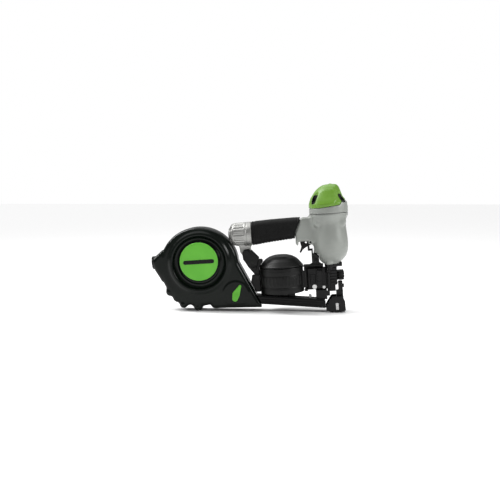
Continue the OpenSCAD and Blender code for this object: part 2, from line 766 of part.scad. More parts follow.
module canister_shell() difference() {
  union() {
    difference() {
      plate_y(drum_split_y, drum_back_y) union() { drum_outline(0); drum_lobes(); }
      for (s = [-1, 1]) hinge_zone(hinge_z + (s > 0 ? 6 : -14.2), hinge_z + (s > 0 ? 14.2 : -6), 0.5);
    }
    hinge_zone(hinge_z - knuckle_h / 2 + 0.2, hinge_z + knuckle_h / 2 - 0.2, 0);
  }
  plate_y(drum_split_y - 1, drum_back_y - 3) intersection() {
    drum_outline(4);
    translate([drum_x - 100, drum_z - 120]) square([240, 240]);
  }
  box([-175, -148], [-13.4, 13.4], [28.5, 42]);
  rod_z(2.05, hinge_z - 14.2, hinge_z + 14.2, hinge_x, drum_split_y);
}

module canister_post() {
  rod_y(11, -14, drum_back_y - 2, hub_x, hub_z);
}

module canister_door() color([0.06, 0.06, 0.06]) difference() {
  union() {
    difference() {
      plate_y(drum_front_y, drum_split_y - gap) union() { drum_outline(0); drum_lobes(); }
      hinge_zone(hinge_z - 6.5, hinge_z + 6.5, 0.5);
      box([-390, hinge_x], [-40, 0], [0, 200]);
    }
    for (a = [0, 180]) translate([hinge_x, drum_split_y, hinge_z]) rotate([a, 0, 0])
      translate([0, 0, knuckle_h / 2 + gap]) cylinder(r1 = knuckle_r, r2 = 4.4, h = 7.4);
    translate([disc_x, drum_front_y + 0.01, disc_z - 3]) rotate([90, 0, 0]) cylinder(r1 = 64, r2 = 55, h = 6);
  }
  plate_y(drum_front_y + 3, drum_split_y + 1) drum_outline(4);
  translate([disc_x, drum_front_y + 3.5, disc_z - 3]) rotate([90, 0, 0]) cylinder(r1 = 60, r2 = 52, h = 6.5);
  rod_y(disc_r + 0.1, drum_front_y - 7, drum_front_y - 5, disc_x, disc_z);
  box([-175, -148], [-13.4, 13.4], [28.5, 42]);
  rod_z(2.05, hinge_z - 14.2, hinge_z + 14.2, hinge_x, drum_split_y);
  rod_y(2.05, -30, 0, latch_pivot[0], latch_pivot[1]);
}

module canister_hinge_pin() color([0.6, 0.6, 0.62])
  rod_z(2, hinge_z - 13.5, hinge_z + 13.5, hinge_x, drum_split_y);

module cover_disc() color([0.4, 0.75, 0.22]) rod_y(disc_r, drum_front_y - 8, drum_front_y - 5, disc_x, disc_z);

module canister_latch() color([0.4, 0.75, 0.22]) {
  plate_y(drum_front_y - 4.5, drum_front_y - 0.3) hull() {
    translate([-204.5, 42]) circle(r = 6.5, $fn = 32);
    translate([-201, 52]) circle(r = 8, $fn = 32);
    translate([-192, 68]) circle(r = 2.5, $fn = 32);
  }
  rod_y(2, drum_front_y - 0.4, -16, latch_pivot[0], latch_pivot[1]);
}

body_housing();
head_gasket();
head_cap();
top_cover();
head_bolts();
head_valve();
head_valve_seal();
head_valve_spring();
cylinder_sleeve();
sleeve_seals();
piston();
piston_ring();
driver_blade();
bumper();
grip_sleeve();
end_cap();
end_cap_gasket();
end_cap_bolts();
inlet_filter();
trigger();
trigger_pin();
trigger_arm();
trigger_valve_body();
valve_plunger();
plunger_spring();
nose_guide();
nose_bolts();
nose_guard();
contact_arm();
contact_spring();
depth_dial();
adjuster_stud();
contact_foot();
cap_retainer();
feed_guide();
feed_cylinder();
feed_piston();
feed_pawl();
feed_spring();
guide_door();
guide_door_pin();
door_latch();
guide_screws();
magazine_base();
magazine_roof();
magazine_cover();
magazine_cover_pin();
nail_platform();
magazine_arm();
arm_bolt();
cap_rail();
rail_cover();
rail_bracket();
cap_feed_cylinder();
cap_feed_claw();
canister_base();
canister_door();
canister_hinge_pin();
cover_disc();
canister_latch();
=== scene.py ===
"""Looks of the pneumatic cap nailer: cast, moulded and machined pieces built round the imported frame.

Lengths in the shape functions are millimetres in the frame of the CAD model; meshes are in metres.
"""
import json
import math
from types import SimpleNamespace

import bpy
import numpy as np
import openvdb
from mathutils import Matrix, Vector


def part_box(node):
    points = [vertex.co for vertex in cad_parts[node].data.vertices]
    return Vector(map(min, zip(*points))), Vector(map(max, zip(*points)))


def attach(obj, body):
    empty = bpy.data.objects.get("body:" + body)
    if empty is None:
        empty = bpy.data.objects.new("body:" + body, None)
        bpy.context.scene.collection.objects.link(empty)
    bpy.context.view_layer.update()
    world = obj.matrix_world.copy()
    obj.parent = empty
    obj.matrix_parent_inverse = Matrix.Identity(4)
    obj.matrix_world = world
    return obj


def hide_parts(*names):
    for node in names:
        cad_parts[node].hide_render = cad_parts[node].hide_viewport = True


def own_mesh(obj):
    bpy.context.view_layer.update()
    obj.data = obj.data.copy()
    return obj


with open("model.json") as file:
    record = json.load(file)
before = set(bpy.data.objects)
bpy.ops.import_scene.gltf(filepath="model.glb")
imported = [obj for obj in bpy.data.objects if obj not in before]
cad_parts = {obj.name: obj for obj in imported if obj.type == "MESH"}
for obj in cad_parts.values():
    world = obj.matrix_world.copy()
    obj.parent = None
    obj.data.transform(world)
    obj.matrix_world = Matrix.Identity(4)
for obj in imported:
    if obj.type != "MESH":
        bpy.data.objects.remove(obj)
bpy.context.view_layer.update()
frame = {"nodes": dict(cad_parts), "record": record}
MM = 0.001
FINE = 0.7
COARSE = 1.1
LEAN = math.radians(4.0)


# ---------------------------------------------------------------- camera, floor and light

def make_camera():
    target = Vector((-0.1682, 0.0, 0.1391))
    distance = 1.4
    azimuth = math.radians(4.0)
    elevation = math.radians(5.0)
    tilted_up = Vector((math.sin(LEAN), 0, math.cos(LEAN)))
    tilted_right = Vector((math.cos(LEAN), 0, -math.sin(LEAN)))
    level = Vector((0, -1, 0)) * math.cos(azimuth) + tilted_right * math.sin(azimuth)
    back = level * math.cos(elevation) + tilted_up * math.sin(elevation)
    up = (tilted_up - back * tilted_up.dot(back)).normalized()
    right = up.cross(back)
    data = bpy.data.cameras.new("camera")
    data.lens = 48
    data.sensor_width = 36
    camera = bpy.data.objects.new("camera", data)
    camera.matrix_world = Matrix.Translation(target + back * distance) @ Matrix(
        (right, up, back)).transposed().to_4x4()
    bpy.context.collection.objects.link(camera)
    bpy.context.scene.camera = camera


def make_floor():
    """A plane that touches the foot's heel and the lowest lobe of the cap canister."""
    size = 12.0
    heel = Vector((-0.006, 0, -0.0002))
    along = Vector((math.cos(LEAN), 0, -math.sin(LEAN)))
    across = Vector((0, 1, 0))
    corners = ((-1, -1), (1, -1), (1, 1), (-1, 1))
    points = [heel + along * (a * size) + across * (b * size) for a, b in corners]
    mesh = bpy.data.meshes.new("floor")
    mesh.from_pydata(points, [], [(0, 1, 2, 3)])
    floor = bpy.data.objects.new("floor", mesh)
    bpy.context.collection.objects.link(floor)
    mat = bpy.data.materials.new("floor_white")
    mat.use_nodes = True
    shader = mat.node_tree.nodes["Principled BSDF"]
    shader.inputs["Base Color"].default_value = (0.93, 0.93, 0.93, 1)
    shader.inputs["Roughness"].default_value = 0.6
    mesh.materials.append(mat)


def area_light(name, place, aim, size, power):
    data = bpy.data.lights.new(name, "AREA")
    data.shape = "RECTANGLE"
    data.size, data.size_y = size
    data.energy = power
    lamp = bpy.data.objects.new(name, data)
    lamp.location = place
    lamp.rotation_euler = (Vector(aim) - Vector(place)).to_track_quat("-Z", "Y").to_euler()
    bpy.context.collection.objects.link(lamp)


def make_light():
    """A white surround that lights the tool softly, two soft boxes and a wide soft sun."""
    world = bpy.data.worlds.new("studio")
    world.use_nodes = True
    tree = world.node_tree
    seen = tree.nodes.new("ShaderNodeLightPath").outputs["Is Camera Ray"]
    strength = tree.nodes.new("ShaderNodeMapRange")
    strength.inputs["To Min"].default_value = 0.3
    strength.inputs["To Max"].default_value = 1.0
    tree.links.new(seen, strength.inputs["Value"])
    backdrop = tree.nodes["Background"]
    backdrop.inputs["Color"].default_value = (1, 1, 1, 1)
    tree.links.new(strength.outputs["Result"], backdrop.inputs["Strength"])
    bpy.context.scene.world = world
    middle = (-0.17, 0, 0.13)
    area_light("key", (1.35, -0.65, 0.75), middle, (0.6, 0.6), 14)
    area_light("rim", (-1.05, 0.1, 1.25), middle, (0.2, 1.2), 20)
    sun = bpy.data.objects.new("top", bpy.data.lights.new("top", "SUN"))
    sun.data.energy = 2.5
    sun.data.angle = 1.4
    sun.rotation_euler = (math.radians(-14), math.radians(-8), 0)
    bpy.context.scene.collection.objects.link(sun)


# ---------------------------------------------------------------- fields of distance

def cells(low, high, step):
    """Open arrays of sample points that cover a box in millimetres."""
    low = np.array(low, float) - 3 * step
    count = np.ceil((np.array(high, float) - low) / step).astype(int) + 4
    x, y, z = (low[i] + step * np.arange(count[i]) for i in range(3))
    return SimpleNamespace(
        x=x[:, None, None], y=y[None, :, None], z=z[None, None, :], low=low, step=step, shape=tuple(count))


def join(*fields, k=3.0):
    """Union with a fillet about k wide."""
    out = fields[0]
    for other in fields[1:]:
        h = np.clip(0.5 + 0.5 * (other - out) / k, 0, 1)
        out = other * (1 - h) + out * h - k * h * (1 - h)
    return out


def cut(field, *tools, k=0.6):
    """Take tools out of a field, with an edge rounded about k wide."""
    for tool in tools:
        field = -join(-field, tool, k=k)
    return field


def meet(*fields, k=0.6):
    """Intersection with an edge rounded about k wide."""
    return -join(*(-f for f in fields), k=k)


def both(a, b, edge):
    """Intersection of two fields whose shared edge is a true round of that radius."""
    a = a + edge
    b = b + edge
    return np.minimum(np.maximum(a, b), 0) + np.hypot(np.maximum(a, 0), np.maximum(b, 0)) - edge


def span(v, low, high):
    """Distance to the slab between two planes."""
    return np.abs(v - (low + high) / 2) - (high - low) / 2


def brick(g, x, y, z, edge=0.5):
    """A box between pairs of planes, with rounded edges."""
    return both(both(span(g.x, *x), span(g.y, *y), edge), span(g.z, *z), edge)


def rod(g, axis, centre, radius, ends, edge=0.4):
    """A cylinder along an axis; centre is its place in the other two axes."""
    u, v = [c for name, c in (("x", g.x), ("y", g.y), ("z", g.z)) if name != axis]
    along = getattr(g, axis)
    return both(np.hypot(u - centre[0], v - centre[1]) - radius, span(along, *ends), edge)


def ball(g, x, y, z, radius):
    return np.sqrt((g.x - x) ** 2 + (g.y - y) ** 2 + (g.z - z) ** 2) - radius


def outline(u, v, points):
    """Distance to a closed outline, negative inside."""
    best = np.inf
    inside = False
    for a, b in zip(points, points[1:] + points[:1]):
        eu, ev = b[0] - a[0], b[1] - a[1]
        du, dv = u - a[0], v - a[1]
        t = np.clip((du * eu + dv * ev) / (eu * eu + ev * ev), 0, 1)
        best = np.minimum(best, (du - t * eu) ** 2 + (dv - t * ev) ** 2)
        if a[1] != b[1]:
            crossing = ((a[1] > v) != (b[1] > v)) & (u < a[0] + (v - a[1]) * eu / ev)
            inside = inside ^ crossing
    return np.where(inside, -1, 1) * np.sqrt(best)


def lathe(g, axis, centre, points):
    """A turned solid: the outline's first number is the radius, its second the place along the axis."""
    index = "xyz".index(axis)
    arrays = [g.x, g.y, g.z]
    along = arrays[index].ravel()
    u, v = [a for i, a in enumerate(arrays) if i != index]
    radius = np.squeeze(np.hypot(u - centre[0], v - centre[1]), axis=index)
    steps = np.arange(0, radius.max() + 1, 0.4)
    table = outline(steps[:, None], along[None, :], points)
    layers = [np.interp(radius.ravel(), steps, table[:, i]).reshape(radius.shape) for i in range(len(along))]
    return np.stack(layers, axis=index)


def skin(name, g, field, relax=2, places=((0, 0, 0),)):
    """The surface of a field as a smooth mesh object, in metres, once at each of the places."""
    full = np.ascontiguousarray(np.broadcast_to(field, g.shape), dtype=np.float32)
    full = np.clip(full, -3 * g.step, 3 * g.step)
    volume = openvdb.FloatGrid(3 * g.step)
    volume.copyFromArray(full)
    points, quads = volume.convertToQuads(0.0)
    points = points * g.step + g.low
    verts = np.concatenate([points + p for p in places]) * MM
    faces = np.concatenate([quads[:, ::-1] + i * len(points) for i in range(len(places))])
    mesh = bpy.data.meshes.new(name)
    mesh.from_pydata(verts.tolist(), [], faces.tolist())
    mesh.validate()
    piece = bpy.data.objects.new(name, mesh)
    bpy.context.collection.objects.link(piece)
    mesh.shade_smooth()
    if relax:
        smooth = piece.modifiers.new("relax", "SMOOTH")
        smooth.factor = 0.5
        smooth.iterations = relax
    return piece


def place(piece, body, slot, *nodes):
    """Ride a piece on a body, give it the material of its slot, and hide the CAD nodes it stands for."""
    piece.data.materials.append(finish_of(slot, True))
    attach(piece, body)
    if nodes:
        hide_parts(*nodes)
    return piece


# ---------------------------------------------------------------- materials

BLOTCH = 24


def new_material(name):
    mat = bpy.data.materials.new(name)
    mat.use_nodes = True
    tree = mat.node_tree
    shader = tree.nodes["Principled BSDF"]
    coords = tree.nodes.new("ShaderNodeTexCoord").outputs["Object"]
    return mat, tree, shader, coords


def noise(tree, coords, scale, detail=3.0, stretch=(1, 1, 1)):
    mapping = tree.nodes.new("ShaderNodeMapping")
    mapping.inputs["Scale"].default_value = stretch
    tree.links.new(coords, mapping.inputs["Vector"])
    node = tree.nodes.new("ShaderNodeTexNoise")
    node.inputs["Scale"].default_value = scale
    node.inputs["Detail"].default_value = detail
    tree.links.new(mapping.outputs["Vector"], node.inputs["Vector"])
    return node.outputs["Fac"]


def ramp(tree, value, low, high, stops=(0.3, 0.7)):
    node = tree.nodes.new("ShaderNodeValToRGB")
    node.color_ramp.elements[0].position = stops[0]
    node.color_ramp.elements[1].position = stops[1]
    node.color_ramp.elements[0].color = (*low, 1)
    node.color_ramp.elements[1].color = (*high, 1)
    tree.links.new(value, node.inputs["Fac"])
    return node.outputs["Color"]


def spread(tree, value, low, high, stops=(0.3, 0.7)):
    node = tree.nodes.new("ShaderNodeMapRange")
    node.inputs["From Min"].default_value = stops[0]
    node.inputs["From Max"].default_value = stops[1]
    node.inputs["To Min"].default_value = low
    node.inputs["To Max"].default_value = high
    tree.links.new(value, node.inputs["Value"])
    return node.outputs["Result"]


def bump(tree, shader, height, distance, strength=1.0):
    node = tree.nodes.new("ShaderNodeBump")
    node.inputs["Strength"].default_value = strength
    node.inputs["Distance"].default_value = distance
    tree.links.new(height, node.inputs["Height"])
    if shader.inputs["Normal"].is_linked:
        tree.links.new(shader.inputs["Normal"].links[0].from_socket, node.inputs["Normal"])
    tree.links.new(node.outputs["Normal"], shader.inputs["Normal"])


def wear(tree, colour, coords, worn, edge=(0.53, 0.6)):
    """Mix a worn colour in along sharp convex edges, broken up by noise."""
    point = tree.nodes.new("ShaderNodeNewGeometry").outputs["Pointiness"]
    edges = spread(tree, point, 0, 1, edge)
    patches = spread(tree, noise(tree, coords, 260, 4), 0.1, 1, (0.42, 0.62))
    product = tree.nodes.new("ShaderNodeMath")
    product.operation = "MULTIPLY"
    tree.links.new(edges, product.inputs[0])
    tree.links.new(patches, product.inputs[1])
    mix = tree.nodes.new("ShaderNodeMix")
    mix.data_type = "RGBA"
    tree.links.new(product.outputs[0], mix.inputs["Factor"])
    tree.links.new(colour, mix.inputs["A"])
    mix.inputs["B"].default_value = (*worn, 1)
    return mix.outputs["Result"]


def make_material(name, low, high, rough, metal=0.0, grain=(900, 0.00008), specular=0.5,
                  stretch=(1, 1, 1), worn=None, pits=None):
    """A surface with blotchy colour, uneven gloss and a fine grain."""
    mat, tree, shader, coords = new_material(name)
    colour = ramp(tree, noise(tree, coords, BLOTCH, 4), low, high)
    if worn:
        colour = wear(tree, colour, coords, worn)
    tree.links.new(colour, shader.inputs["Base Color"])
    gloss = spread(tree, noise(tree, coords, BLOTCH * 4, 4, stretch), *rough)
    tree.links.new(gloss, shader.inputs["Roughness"])
    shader.inputs["Metallic"].default_value = metal
    shader.inputs["Specular IOR Level"].default_value = specular
    bump(tree, shader, noise(tree, coords, grain[0], 2, stretch), grain[1])
    if pits:
        bump(tree, shader, noise(tree, coords, pits[0], 2), pits[1], 0.6)
    return mat


FINISHES = {
    "body_paint": dict(low=(0.22, 0.232, 0.214), high=(0.26, 0.274, 0.254), rough=(0.34, 0.44), metal=0.15,
                       grain=(1100, 0.00005), pits=(160, 0.00008), worn=(0.5, 0.5, 0.48)),
    "cover_green": dict(low=(0.105, 0.23, 0.018), high=(0.122, 0.262, 0.025), rough=(0.3, 0.4),
                        grain=(1500, 0.00003), specular=0.4, worn=(0.22, 0.42, 0.08)),
    "disc_green": dict(low=(0.09, 0.37, 0.028), high=(0.11, 0.41, 0.036), rough=(0.3, 0.38),
                       grain=(1500, 0.00003), specular=0.3, worn=(0.2, 0.52, 0.1)),
    "grip_rubber": dict(low=(0.003, 0.003, 0.003), high=(0.006, 0.006, 0.006), rough=(0.6, 0.72),
                        grain=(1400, 0.00018), specular=0.15),
    "seal_rubber": dict(low=(0.01, 0.01, 0.01), high=(0.02, 0.02, 0.02), rough=(0.45, 0.6), specular=0.3),
    "gasket_fibre": dict(low=(0.16, 0.165, 0.155), high=(0.2, 0.205, 0.195), rough=(0.6, 0.8), specular=0.3),
    "cast_bright": dict(low=(0.2, 0.2, 0.192), high=(0.32, 0.32, 0.308), rough=(0.32, 0.5), metal=0.7,
                        grain=(900, 0.0001), pits=(240, 0.0002), worn=(0.7, 0.7, 0.68)),
    "canister_plastic": dict(low=(0.0015, 0.003, 0.002), high=(0.003, 0.005, 0.0035), rough=(0.16, 0.24),
                             grain=(1300, 0.00003), specular=0.16, worn=(0.008, 0.01, 0.009)),
    "magazine_black": dict(low=(0.002, 0.0022, 0.002), high=(0.005, 0.0052, 0.005), rough=(0.34, 0.44),
                           grain=(800, 0.00006), pits=(200, 0.00008), specular=0.2, worn=(0.015, 0.015, 0.015)),
    "nose_black": dict(low=(0.002, 0.002, 0.0022), high=(0.005, 0.005, 0.0052), rough=(0.3, 0.42),
                       grain=(900, 0.00008), specular=0.22, stretch=(1, 1, 6), worn=(0.02, 0.02, 0.02)),
    "bright_steel": dict(low=(0.42, 0.42, 0.42), high=(0.54, 0.54, 0.53), rough=(0.22, 0.36), metal=1.0,
                         grain=(700, 0.00006), stretch=(1, 1, 8)),
    "bore_aluminium": dict(low=(0.5, 0.5, 0.49), high=(0.6, 0.6, 0.59), rough=(0.26, 0.38), metal=1.0,
                           stretch=(1, 1, 12)),
    "brass": dict(low=(0.62, 0.45, 0.16), high=(0.72, 0.54, 0.22), rough=(0.24, 0.38), metal=1.0),
    "dark_plastic": dict(low=(0.002, 0.002, 0.002), high=(0.004, 0.004, 0.004), rough=(0.36, 0.48),
                         grain=(1100, 0.00006), specular=0.18, worn=(0.01, 0.01, 0.01)),
}
made = {}


def finish_of(slot, dense):
    """The material of a slot; only dense meshes carry edge wear, which follows their curvature."""
    name = slot if dense else slot + "_cad"
    if name not in made:
        settings = dict(FINISHES[slot])
        if not dense:
            settings["worn"] = None
        made[name] = make_material(name, **settings)
    return made[name]


# ---------------------------------------------------------------- head and body

BOLTS = [(sx * 27, sy * 22) for sx in (-1, 1) for sy in (-1, 1)]
BOSS_TOP = 226
LUGS = [(-5.7, 18 * s) for s in (-1, 1)]
TRIGGER_PIN = (-41, 148.5)


def exhaust_slots(g, start):
    """Two stacks of slots through the front wall of the head, from start outwards."""
    return [brick(g, (start, 45), (s * 7 - 4.8, s * 7 + 4.8), (z, z + 1.7), 0.6)
            for s in (-1, 1) for z in (218.6, 221.8, 225.0)]


def handle_core(g, radius, ends):
    """The hollow core of the handle: a stadium section along X."""
    return both(np.hypot(g.y, np.maximum(np.abs(g.z - 179) - 3, 0)) - radius, span(g.x, *ends), 0.5)


def head_form(g):
    """The rounded head, which leans towards the front as it rises and turns from round to squarish."""
    heights = [200, 217, 226, 232, 238.5, 245, 251.5, 256, 259, 262, 264, 265.3]
    radii = [39.9, 39.9, 39.3, 36.4, 32.6, 29.2, 25.8, 22.8, 20.2, 16.6, 12.4, 3]
    leans = [0, 0, 0, -1, -2.2, -1, 0.3, 1.8, 3, 4.4, 5.8, 6.6]
    radius = np.interp(g.z, heights, radii)
    lean = np.interp(g.z, heights, leans)
    power = 2.35
    across = (np.abs(g.x - lean) ** power + np.abs(g.y) ** power) ** (1 / power)
    return both(across - radius, span(g.z, 150, 265.2), 2.0) * 0.85


def seam_height(g):
    """The cover's lower edge: a gentle slope that climbs over a shoulder at the front."""
    t = np.clip((g.x - 20) / 10, 0, 1)
    return 217 + 4.5 * np.clip((g.x + 20) / 42, 0, 1) + 8.5 * t * t * (3 - 2 * t)


def build_head():
    g = cells((-41, -41, 205), (41, 41, 267), 0.9)
    form = head_form(g)
    seam = seam_height(g)
    dome = lathe(g, "z", (0, 0), [
        (0, 200), (30, 200), (30, 226), (27, 238), (25, 240), (20, 240), (17, 249), (16, 250), (0, 250)])
    bosses = join(*[rod(g, "z", p, 6.5, (200, BOSS_TOP), 0.8) for p in BOLTS], k=0.5)
    casting = join(meet(form, g.z - seam, k=1.2), bosses, k=3)
    casting = join(casting, dome, k=1)
    chamber = lathe(g, "z", (0, 0), [(0, 200), (27.5, 200), (27.5, 231), (12, 231), (12, 246), (0, 246)])
    holes = [rod(g, "z", p, 2.6, (200, 228)) for p in BOLTS]
    recesses = [rod(g, "z", p, 7.2, (BOSS_TOP + 0.1, 270), 0.5) for p in BOLTS]
    casting = meet(casting, 206.1 - g.z, k=0.5)
    casting = cut(casting, chamber, *exhaust_slots(g, 16), *holes, *recesses, k=0.5)
    piece = skin("head_cap_casting", g, casting)
    place(piece, "tool", "body_paint", "head_cap")

    side = outline(g.x, g.z, [
        (-25, 222), (-26, 235), (-19, 248), (-6, 255.5), (10, 256), (16, 249), (16.5, 234), (10, 224.5),
        (0, 221)])
    panel = both(both(form - 0.9, side, 1.5), 12 - np.abs(g.y), 0.5)
    crown = both(both(form - 0.7, 254 - g.z, 1.0), np.hypot(g.x - 4, g.y) - 15, 1.0)
    above_seam = seam + 0.5 - g.z
    ears = join(*[rod(g, "z", p, 7.7, (200, BOSS_TOP + 0.5), 0.8) for p in BOLTS], k=0.5)
    cover = join(meet(form - 0.3, above_seam, k=1.6), meet(ears, above_seam, k=0.8), panel, crown, k=1.2)
    cover = cut(cover, dome - 0.35, *recesses, k=0.8)
    cover = cut(cover, bosses - 0.4, *exhaust_slots(g, 24), k=0.4)
    piece = skin("top_cover_shell", g, cover)
    place(piece, "tool", "cover_green", "top_cover")


def build_body():
    g = cells((-161, -41, 99), (41, 41, 206), COARSE)
    belly = lathe(g, "z", (0, 0), [
        (0, 100), (15, 100), (18.2, 103), (26, 109.5), (31.8, 116.5), (34.8, 124.5), (36.3, 134), (36.6, 144),
        (36.2, 154), (35.2, 165), (34.3, 175), (34.0, 184), (34.8, 190), (37.2, 195.3), (39.2, 199),
        (39.9, 203),
        (39.9, 204.8), (0, 204.8)])
    bosses = [join(rod(g, "z", p, 6.4, (186, 204.8), 0.5), ball(g, *p, 186, 6.4), k=0.5) for p in BOLTS]
    lugs = [rod(g, "z", p, 6.5, (100, 115), 0.5) for p in LUGS]
    seat = rod(g, "z", (-31.5, 12.2), 4, (113, 128), 0.5)
    core = handle_core(g, 13, (-160.7, -30))
    side = outline(g.x, g.z, [
        (-28, 199.5), (-55, 200), (-59.5, 197), (-71.2, 168), (-71.6, 147), (-68.6, 142.6), (-66.4, 144.5),
        (-66, 150.5), (-46, 150.5), (-45.5, 146), (-42.5, 143.6), (-37, 144.5), (-28, 151)])
    housing = both(side, np.abs(g.y) - 16, 4.5)
    rear = outline(g.x, g.z, [(-60, 90), (-24.5, 90), (-24.5, 121), (-38, 128.5), (-60, 128.5)])
    body = join(cut(belly, rear, k=3), *bosses, k=6)
    body = join(body, *lugs, seat, k=4)
    body = join(body, housing, k=9)
    body = join(body, core, k=3)
    slot = brick(g, (-66.8, -32), (-9.5, 9.5), (130, 156.9), 0.8)
    cavity = lathe(g, "z", (0, 0), [
        (0, 98), (8, 98), (8, 102), (14.2, 102), (14.2, 111), (21.2, 111), (21.2, 124), (29.5, 128),
        (29.5, 207), (0, 207)])
    duct = rod(g, "x", (0, 179), 9, (-165, -28))
    valve = rod(g, "z", (-50, 0), 7.1, (150, 172))
    pin = rod(g, "y", TRIGGER_PIN, 2.05, (-20, 20))
    body = meet(body, span(g.z, 100, 204.8), k=0.5)
    body = meet(body, -160.7 - g.x, k=0.5)
    body = cut(body, slot, cavity, duct, valve, pin, k=0.6)
    mouth = outline(g.x, g.z, [(-66.8, 151), (-66.8, 138), (-30, 138), (-30, 151)])
    body = cut(body, both(mouth, np.abs(g.y) - 9.5, 0.4), k=0.4)
    piece = skin("body_casting", g, body)
    place(piece, "tool", "body_paint", "body_housing")


def build_grip():
    g = cells((-162, -20, 148), (-57, 20, 203), FINE)
    floor = np.interp(g.x, [-161, -150, -120, -74, -57], [148.8, 150.2, 153.6, 157.6, 158.6])
    roof = np.interp(g.x, [-161, -150, -120, -74, -57], [198.6, 199.2, 200.6, 201.4, 201.2])
    middle, half = (floor + roof) / 2, (roof - floor) / 2
    wide = np.interp(g.x, [-161, -140, -110, -80, -57], [19, 18.2, 18.0, 18.2, 18.8])
    radius = 13
    u = np.abs(g.y) - (wide - radius)
    v = np.abs(g.z - middle) - (half - radius)
    section = np.hypot(np.maximum(u, 0), np.maximum(v, 0)) + np.minimum(np.maximum(u, v), 0) - radius
    front = (g.x - np.interp(g.z, [150, 168, 201], [-72.6, -71.9, -59.2])) * 0.93
    back = -160.7 - g.x
    body = both(both(section, front, 1.5), back, 1.5)
    for groove in (np.abs(g.x + 157.5), np.abs(g.x + 155), np.abs(front + 4)):
        body = cut(body, meet(groove - 0.7, -(section + 0.8), k=0.3), k=0.5)
    pitch = 3.4
    wave = np.abs(((g.x + 0.55 * g.z) / pitch) % 1 - 0.5) * pitch - 0.55
    panel = outline(g.x, g.z, [(-148, 187), (-86, 190.5), (-90, 168), (-147, 162.5)]) + 1
    knurl = meet(meet(wave, panel, k=0.3), -(section + 0.55), k=0.2)
    body = cut(body, knurl, k=0.4)
    under = np.abs((g.x / 6.0) % 1 - 0.5) * 6.0 - 1.0
    ribs = meet(meet(under, span(g.x, -146, -84), k=0.3), -(section + 0.8), k=0.3)
    ribs = meet(ribs, g.z - floor - 7, k=0.5)
    body = cut(body, ribs, k=0.8)
    body = cut(body, handle_core(g, 13.15, (-170, -60)), k=0.3)
    block = outline(g.x, g.z, [
        (-20, 205), (-58.9, 205), (-59.2, 197), (-71.5, 168), (-72.2, 140), (-20, 140)])
    body = cut(body, both(block - 0.25, np.abs(g.y) - 22, 0.5), k=0.3)
    piece = skin("grip_sleeve_rubber", g, body, relax=1)
    place(piece, "tool", "grip_rubber", "grip_sleeve")


END_Z = 173.8
ARM_BOLT = (-176, 134)


def build_end_cap():
    g = cells((-212, -25, 125), (-160, 32, 200), 0.8)
    turned = lathe(g, "x", (0, END_Z), [
        (0, -210.8), (10.5, -210.8), (13, -209.8), (15.5, -207), (20.5, -204.6), (22.8, -201.5), (24.0, -196),
        (24.4, -178), (24.5, -162.1), (0, -162.1)])
    angle = np.arctan2(g.z - END_Z, g.y)
    fade = np.clip((11 - np.abs(g.x + 188)) / 1.5, 0, 1)
    flutes = 0.4 * np.clip(np.cos(angle * 22) * 1.6, -1, 1) * fade
    collar = both(np.abs(np.hypot(g.y, g.z - END_Z) - 24.5) - 0.9, span(g.x, -173.2, -171.8), 0.3)
    flange = lathe(g, "x", (0, END_Z), [(0, -176), (24.5, -176), (24.5, -162.1), (0, -162.1)])
    body = join(turned + 0.35 + flutes, flange, k=1)
    lug = both(outline(g.x, g.z, [
        (-190, 152), (-188.5, 136), (-184, 128.5), (-178, 126.2), (-171, 127.5), (-166.2, 132),
        (-165.4, 152)]), np.abs(g.y) - 7, 1.2)
    body = join(body, lug, k=5)
    body = meet(body, g.x + 162.1, k=0.5)
    drum = np.hypot(g.x + 276, g.z - 112) - 84.2
    bore = lathe(g, "x", (0, 177), [(0, -196), (10, -196), (10, -150), (0, -150)])
    port = np.hypot(g.x + 186, g.z - 176)
    body = join(body, both(port - 10, span(g.y, 8, 31), 1.2), k=4)
    pitch = 1.6
    thread = 0.25 * np.sin(g.y * 2 * math.pi / pitch)
    tapped = both(port - 5.6 - thread, span(g.y, 15, 36), 0.3)
    relief = both(port - 6.4, span(g.y, 5, 16), 0.3)
    mouth = both(port - 6.6, span(g.y, 30.2, 36), 0.3)
    inlet = join(join(tapped, relief, k=0.3), mouth, k=0.3)
    dimple = rod(g, "x", (0, END_Z), 7.5, (-216, -210), 0.5)
    body = cut(body, collar, drum, bore, inlet, dimple, rod(g, "y", ARM_BOLT, 3.1, (-10, 10)), k=0.6)
    for a in map(math.radians, (45, 135, 225, 315)):
        spot = (17 * math.cos(a), 174 + 17 * math.sin(a))
        body = cut(body, rod(g, "x", spot, 4.4, (-215, -199)), rod(g, "x", spot, 2.1, (-205, -150)), k=0.5)
    piece = skin("end_cap_casting", g, body, relax=1)
    place(piece, "tool", "cast_bright", "end_cap")


# ---------------------------------------------------------------- cap canister

DRUM = (-276.0, 112.0)
DISC = (-274.0, 124.0)
DRUM_R = 83.0
SPLIT_Y = -8.15
HUB = (-277.7, 116)
HINGE = (-370.5, SPLIT_Y)
HINGE_Z = 126
PIN_ENDS = (111.8, 140.2)
LATCH_PIVOT = (-205.5, 42)
LOBES = [(217, 82.5), (231, 81.5), (243.2, 86.1), (264.2, 84.6)]


